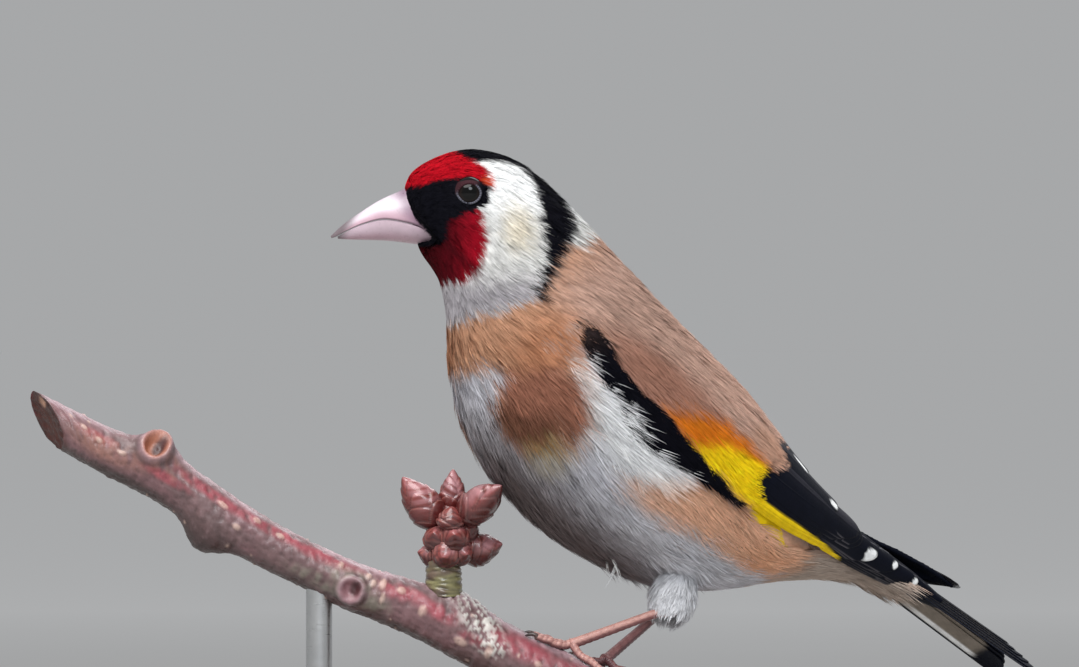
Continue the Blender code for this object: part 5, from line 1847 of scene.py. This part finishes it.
# painted shade on the buds: under each scale's edge and on their lower sides
BUD_SHADE = (0.025, 0.005, 0.006)
HIGHLIGHT_WAY = TWIG_ASIDE * 0.6 + np.array([0.0, 0.0, 0.8])  # the side of a bud that its painted highlight faces
CLUSTER_HIGHLIGHT = 0.35
STALK_BROWN, STALK_GREEN = (0.13, 0.090, 0.062), (0.215, 0.205, 0.085)
BUD_SCALES = [(0.34, 3), (0.52, 3), (0.70, 4), (0.86, 3)]  # where each whorl's tips come, and its scales


def twig_place(along, aside, z):
    return TWIG_HEADING * along + TWIG_ASIDE * aside + np.array([0.0, 0.0, z])


def scaly_bud(gather, base, tip, half_width, seed, highlight_share, rows=70, sides=64):
    """A plump pointed bud wrapped in whorls of overlapping scales."""
    rng = np.random.default_rng(seed)
    base, tip = np.asarray(base, float), np.asarray(tip, float)
    length = np.linalg.norm(tip - base)
    t = np.linspace(0.03, 0.995, rows)[:, None]
    turns = np.linspace(0, 2 * np.pi, sides, endpoint=False)[None, :]
    plump = half_width * np.sin(np.pi * np.minimum(t, 0.999) ** 0.85) ** 0.72
    relief = np.zeros((rows, sides))
    tone = np.broadcast_to(np.asarray(BUD_LIGHT), (rows, sides, 3)).copy()
    for reach, scales in reversed(BUD_SCALES):
        phase = rng.uniform(0, 2 * np.pi)
        turn = (turns - phase) % (2 * np.pi / scales) - np.pi / scales
        which = np.floor(((turns - phase) % (2 * np.pi)) / (2 * np.pi / scales)).astype(int)
        slip = rng.uniform(-0.05, 0.05, scales)[which]
        edge = reach + slip - 0.20 * np.abs(turn * scales / np.pi) ** 1.7
        under = (edge - t) * length
        cover = smooth_step(under / 0.16)
        shade = rng.uniform(0.72, 1.1, scales)[which]
        relief = relief + 0.17 * cover
        ground = np.broadcast_to(np.asarray(BUD_RED), (rows, sides, 3))
        scale_tone = paint(ground, 0.65 * smooth_step(t * 1.4) + 0 * relief, BUD_LIGHT)
        scale_tone = scale_tone * (shade + 0 * t)[..., None]
        scale_tone = paint(scale_tone, 0.28 * np.exp(-(((under - 0.14) / 0.13) ** 2)), BUD_EDGE)
        tone = paint(tone, cover, scale_tone)
        shadow = np.exp(-(((under + 0.12) / 0.12) ** 2))
        tone = paint(tone, 0.55 * shadow, BUD_SHADE)
    along = (tip - base) / length
    side = np.cross(along, (0.0, 0.0, 1.0) if abs(along[2]) < 0.9 else (1.0, 0.0, 0.0))
    side /= np.linalg.norm(side)
    over = np.cross(side, along)
    ring = np.cos(turns)[..., None] * side + np.sin(turns)[..., None] * over
    # Painted highlight: pale pink on the side of each bud that faces up and towards the camera.
    highlight = smooth_step((ring @ HIGHLIGHT_WAY - 0.1) / 0.6) * smooth_step((t - 0.2) * 2.0)
    patchy = smooth_step(0.75 + 0.5 * ripple(ring * half_width + t[..., None] * length, 1.6, seed))
    tone = paint(tone, highlight_share * highlight * patchy, BUD_HIGHLIGHT)
    # Painted shade: each bud's downward side darkened.
    tone = paint(tone, 0.65 * smooth_step((-ring[..., 2] - 0.05) / 0.7), BUD_SHADE)
    wobble = 1 + 0.04 * np.sin(3 * turns + rng.uniform(0, 6))
    radius = (plump * wobble + relief * np.minimum(plump / 0.6, 1))[..., None]
    points = base + (tip - base) * t[..., None] + ring * radius
    body, quads, caps = loft_parts(points)
    gather.add(body, quads, caps, tint=np.vstack([tone.reshape(-1, 3), tone[0, :1], tone[-1, :1]]))


def make_buds():
    for number, (base, tip, half_width, highlight) in enumerate(BUDS, 1):
        bud = Gather()
        scaly_bud(bud, twig_place(*base), twig_place(*tip), half_width - 0.35, 90 + number, highlight)
        attach(bud.make(f"bud_scales_{number}", MATERIALS["bud"]), "bud", f"bud_{number}")
    stalk = Gather()
    path = curve([twig_place(*row[:3]) for row in BUD_STALK], 120)
    radii = np.interp(np.linspace(0, 3, 120), range(4), [row[3] for row in BUD_STALK])
    rings = tube_rings(path, 1.0, 72)
    spokes = rings - path[:, None]
    height = path[:, 2][:, None] + 0.25 * ripple(rings * 1.5, 3.0, 21)
    ridge = np.abs(np.sin(height * np.pi / 0.75)) ** 0.7
    points = path[:, None] + spokes * (radii[:, None] - 0.18 + 0.20 * ridge + 0.06 * ripple(rings * 2, 1.2, 22))[..., None]
    low = smooth_step((64.6 - height) / 1.6) * smooth_step(0.5 + 0.6 * ripple(rings * 2, 2.0, 23))
    tone = paint(np.broadcast_to(np.asarray(STALK_BROWN), points.shape), 0.75 * low, STALK_GREEN)
    tone = tone * (0.55 + 0.55 * ridge)[..., None]
    tone = paint(tone, smooth_step((height - 65.4) / 1.5), BUD_RED)
    body, quads, caps = loft_parts(points)
    stalk.add(body, quads, caps, tint=np.vstack([tone.reshape(-1, 3), tone[0, :1], tone[-1, :1]]))
    for number, (middle, way, length, half_width) in enumerate(CLUSTER):
        start = twig_place(*middle)
        heading = TWIG_HEADING * way[0] + TWIG_ASIDE * way[1] + np.array([0.0, 0.0, way[2]])
        heading = heading / np.linalg.norm(heading) * length
        scaly_bud(stalk, start - heading * 0.4, start + heading * 0.6, half_width, 110 + number, CLUSTER_HIGHLIGHT, 44, 40)
    attach(stalk.make("bud_stalk_scales", MATERIALS["bud"]), "bud", "bud_stalk")


# The stand

STAND_RADIUS, STAND_HEIGHT = 46.0, 9.0
# The base's outline from the middle of its foot to the middle of its top: radius, height.
STAND_OUTLINE = [
    (0.0, 0.0), (45.0, 0.0), (45.7, 0.3), (46.0, 1.0), (46.0, 2.6), (45.6, 3.1), (44.6, 3.4), (44.4, 3.9),
    (44.9, 4.5), (45.3, 5.6), (45.0, 7.1), (44.0, 8.2), (42.4, 8.8), (40.5, 9.0), (0.0, 9.0),
]
ROD_RADIUS = 1.8
ROD_PLACES = {"front": -31.0, "back": 14.5}
COLLAR = [(0.0, 3.4), (0.9, 3.4), (1.3, 3.1), (1.5, 2.4), (2.2, 2.2), (2.5, 1.85)]


def make_stand():
    turns = np.linspace(0, 2 * np.pi, 160, endpoint=False)
    outline = np.asarray(STAND_OUTLINE)
    fine = []
    for (r0, z0), (r1, z1) in zip(outline[:-1], outline[1:]):
        steps = max(2, int(abs(r1 - r0) / 3) + 2)
        fine += [(r0 + (r1 - r0) * k / steps, z0 + (z1 - z0) * k / steps) for k in range(steps)]
    fine = np.array(fine[1:])
    rings = [np.stack([r * np.cos(turns), r * np.sin(turns), z + 0 * turns], -1) for r, z in fine]
    ends = np.array([(0.0, 0.0, 0.0), (0.0, 0.0, STAND_HEIGHT)])
    body, quads, caps = loft_parts(rings, ends)
    base = new_object("stand_wood", body, quads, caps, MATERIALS["wood"])
    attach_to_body(base, "root")
    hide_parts("stand_base")
    for place, along in ROD_PLACES.items():
        foot = twig_place(along, TWIG_OFFSET, STAND_HEIGHT - 0.3)
        rod_top = twig_row(along)[1] - 0.5
        heights = [h for h, _ in COLLAR] + list(np.linspace(2.9, rod_top - foot[2], 30))
        radii = [r for _, r in COLLAR] + [ROD_RADIUS] * 30
        rings = [foot + np.stack([r * np.cos(turns[::4]), r * np.sin(turns[::4]), h + 0 * turns[::4]], -1) for h, r in zip(heights, radii)]
        body, quads, caps = loft_parts(rings)
        rod = new_object("rod_" + place, body, quads, caps, MATERIALS["steel"])
        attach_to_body(rod, "root")
        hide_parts("stand_rod_" + place)


# Studio

CAMERA_ANGLE = math.radians(33.0)  # how far forward of the bird's left side the camera stands
PIXEL_MM = 0.137  # mm to a pixel at the bird, in a frame 1079 pixels wide
FRAME_PIXELS = (1079, 667)
ORIGIN_COLUMN, FOOT_HEIGHT = 545.0, 50.0  # the origin's pixel column, and the frame's lower edge above the floor
LENS, SENSOR = 400.0, 36.0


def make_camera():
    towards = Vector((math.cos(CAMERA_ANGLE), -math.sin(CAMERA_ANGLE), 0.0))
    right = Vector((math.sin(CAMERA_ANGLE), math.cos(CAMERA_ANGLE), 0.0))
    wide = FRAME_PIXELS[0] * PIXEL_MM
    tall = FRAME_PIXELS[1] * PIXEL_MM
    target = right * ((FRAME_PIXELS[0] / 2 - ORIGIN_COLUMN) * PIXEL_MM)
    target += Vector((0.0, 0.0, FOOT_HEIGHT + tall / 2))
    data = bpy.data.cameras.new("camera")
    data.lens, data.sensor_width = LENS, SENSOR
    camera = bpy.data.objects.new("camera", data)
    bpy.context.scene.collection.objects.link(camera)
    camera.location = (target + towards * (wide * LENS / SENSOR)) * MM
    camera.rotation_euler = towards.to_track_quat("Z", "Y").to_euler()
    data.clip_start, data.clip_end = 0.05, 100.0
    bpy.context.scene.camera = camera


def add_light(name, place, target, size, power, colour):
    data = bpy.data.lights.new(name, "AREA")
    data.shape = "DISK"
    data.size, data.energy, data.color = size, power, colour
    light = bpy.data.objects.new(name, data)
    bpy.context.scene.collection.objects.link(light)
    light.location = place
    light.rotation_euler = (Vector(place) - Vector(target)).to_track_quat("Z", "Y").to_euler()


FLOOR_REACH = 60.0  # m
BACKGROUND = (0.62, 0.63, 0.64)


def make_studio():
    world = bpy.data.worlds.new("studio")
    world.use_nodes = True
    world.node_tree.nodes["Background"].inputs["Color"].default_value = (*BACKGROUND, 1.0)
    world.node_tree.nodes["Background"].inputs["Strength"].default_value = 0.62
    bpy.context.scene.world = world
    bpy.context.scene.view_settings.view_transform = "Standard"
    # The floor is paler far off, where only the sky lights it, so that it meets the sky with no line.
    floor_look, tree, shader = new_material("floor", 0.95, Specular_IOR_Level=0.0)
    place = add_node(tree, "ShaderNodeTexCoord").outputs["Object"]
    reach = add_node(tree, "ShaderNodeVectorMath", operation="LENGTH")
    tree.links.new(place, reach.inputs[0])
    far = span(tree, reach.outputs["Value"], 0.3, 2.5, 0.0, 1.0)
    grain = ramp(tree, noise(tree, 9.0), [(0.0, (0.36, 0.36, 0.355)), (1.0, (0.41, 0.41, 0.405))])
    tree.links.new(mix(tree, "MIX", far, grain, (1.0, 1.0, 1.0)), shader.inputs["Base Color"])
    turns = np.linspace(0, 2 * np.pi, 64, endpoint=False)
    rim = np.stack([np.cos(turns), np.sin(turns), 0 * turns], -1) * FLOOR_REACH / MM
    j = np.arange(64)
    fan = np.stack([np.full(64, 64), j, (j + 1) % 64], -1)
    floor = new_object("floor", np.vstack([rim, [(0, 0, 0)]]), (), fan, floor_look)
    middle = (0.0, 0.0, 0.09)
    add_light("key", (0.20, -0.38, 0.85), middle, 0.85, 11.0, (1.0, 0.98, 0.96))
    add_light("rim", (-0.35, 0.45, 0.55), middle, 0.5, 1.6, (0.95, 0.97, 1.0))
    add_light("front", (0.83, -0.41, 0.62), middle, 0.42, 4.4, (0.88, 0.94, 1.0))


MATERIALS = make_materials()
make_camera()
make_studio()
make_skin()
make_tail()
make_perch()
make_buds()
make_stand()
make_bill("upper_bill", UPPER_BILL, True, "bill_upper")
make_bill("lower_bill", LOWER_BILL, False, "bill_lower")
belly_wisps(140)
for number, side in enumerate(SIDES):
    bristles(side, 110 + number)
    head_coat(side, 10 + number)
    neck_coat(side, 20 + number)
    breast_coat(side, 30 + number)
    belly_coat(side, 40 + number)
    tail_covert_coat(side, 50 + number)
    mantle_coat(side, 60 + number)
    thigh_coat(side, 70 + number)
    band_coat(side, 100 + number)
    plumes(side, 120 + number)
    make_foot(side)
    make_wing(side, 80 + number)
    make_eye(side)
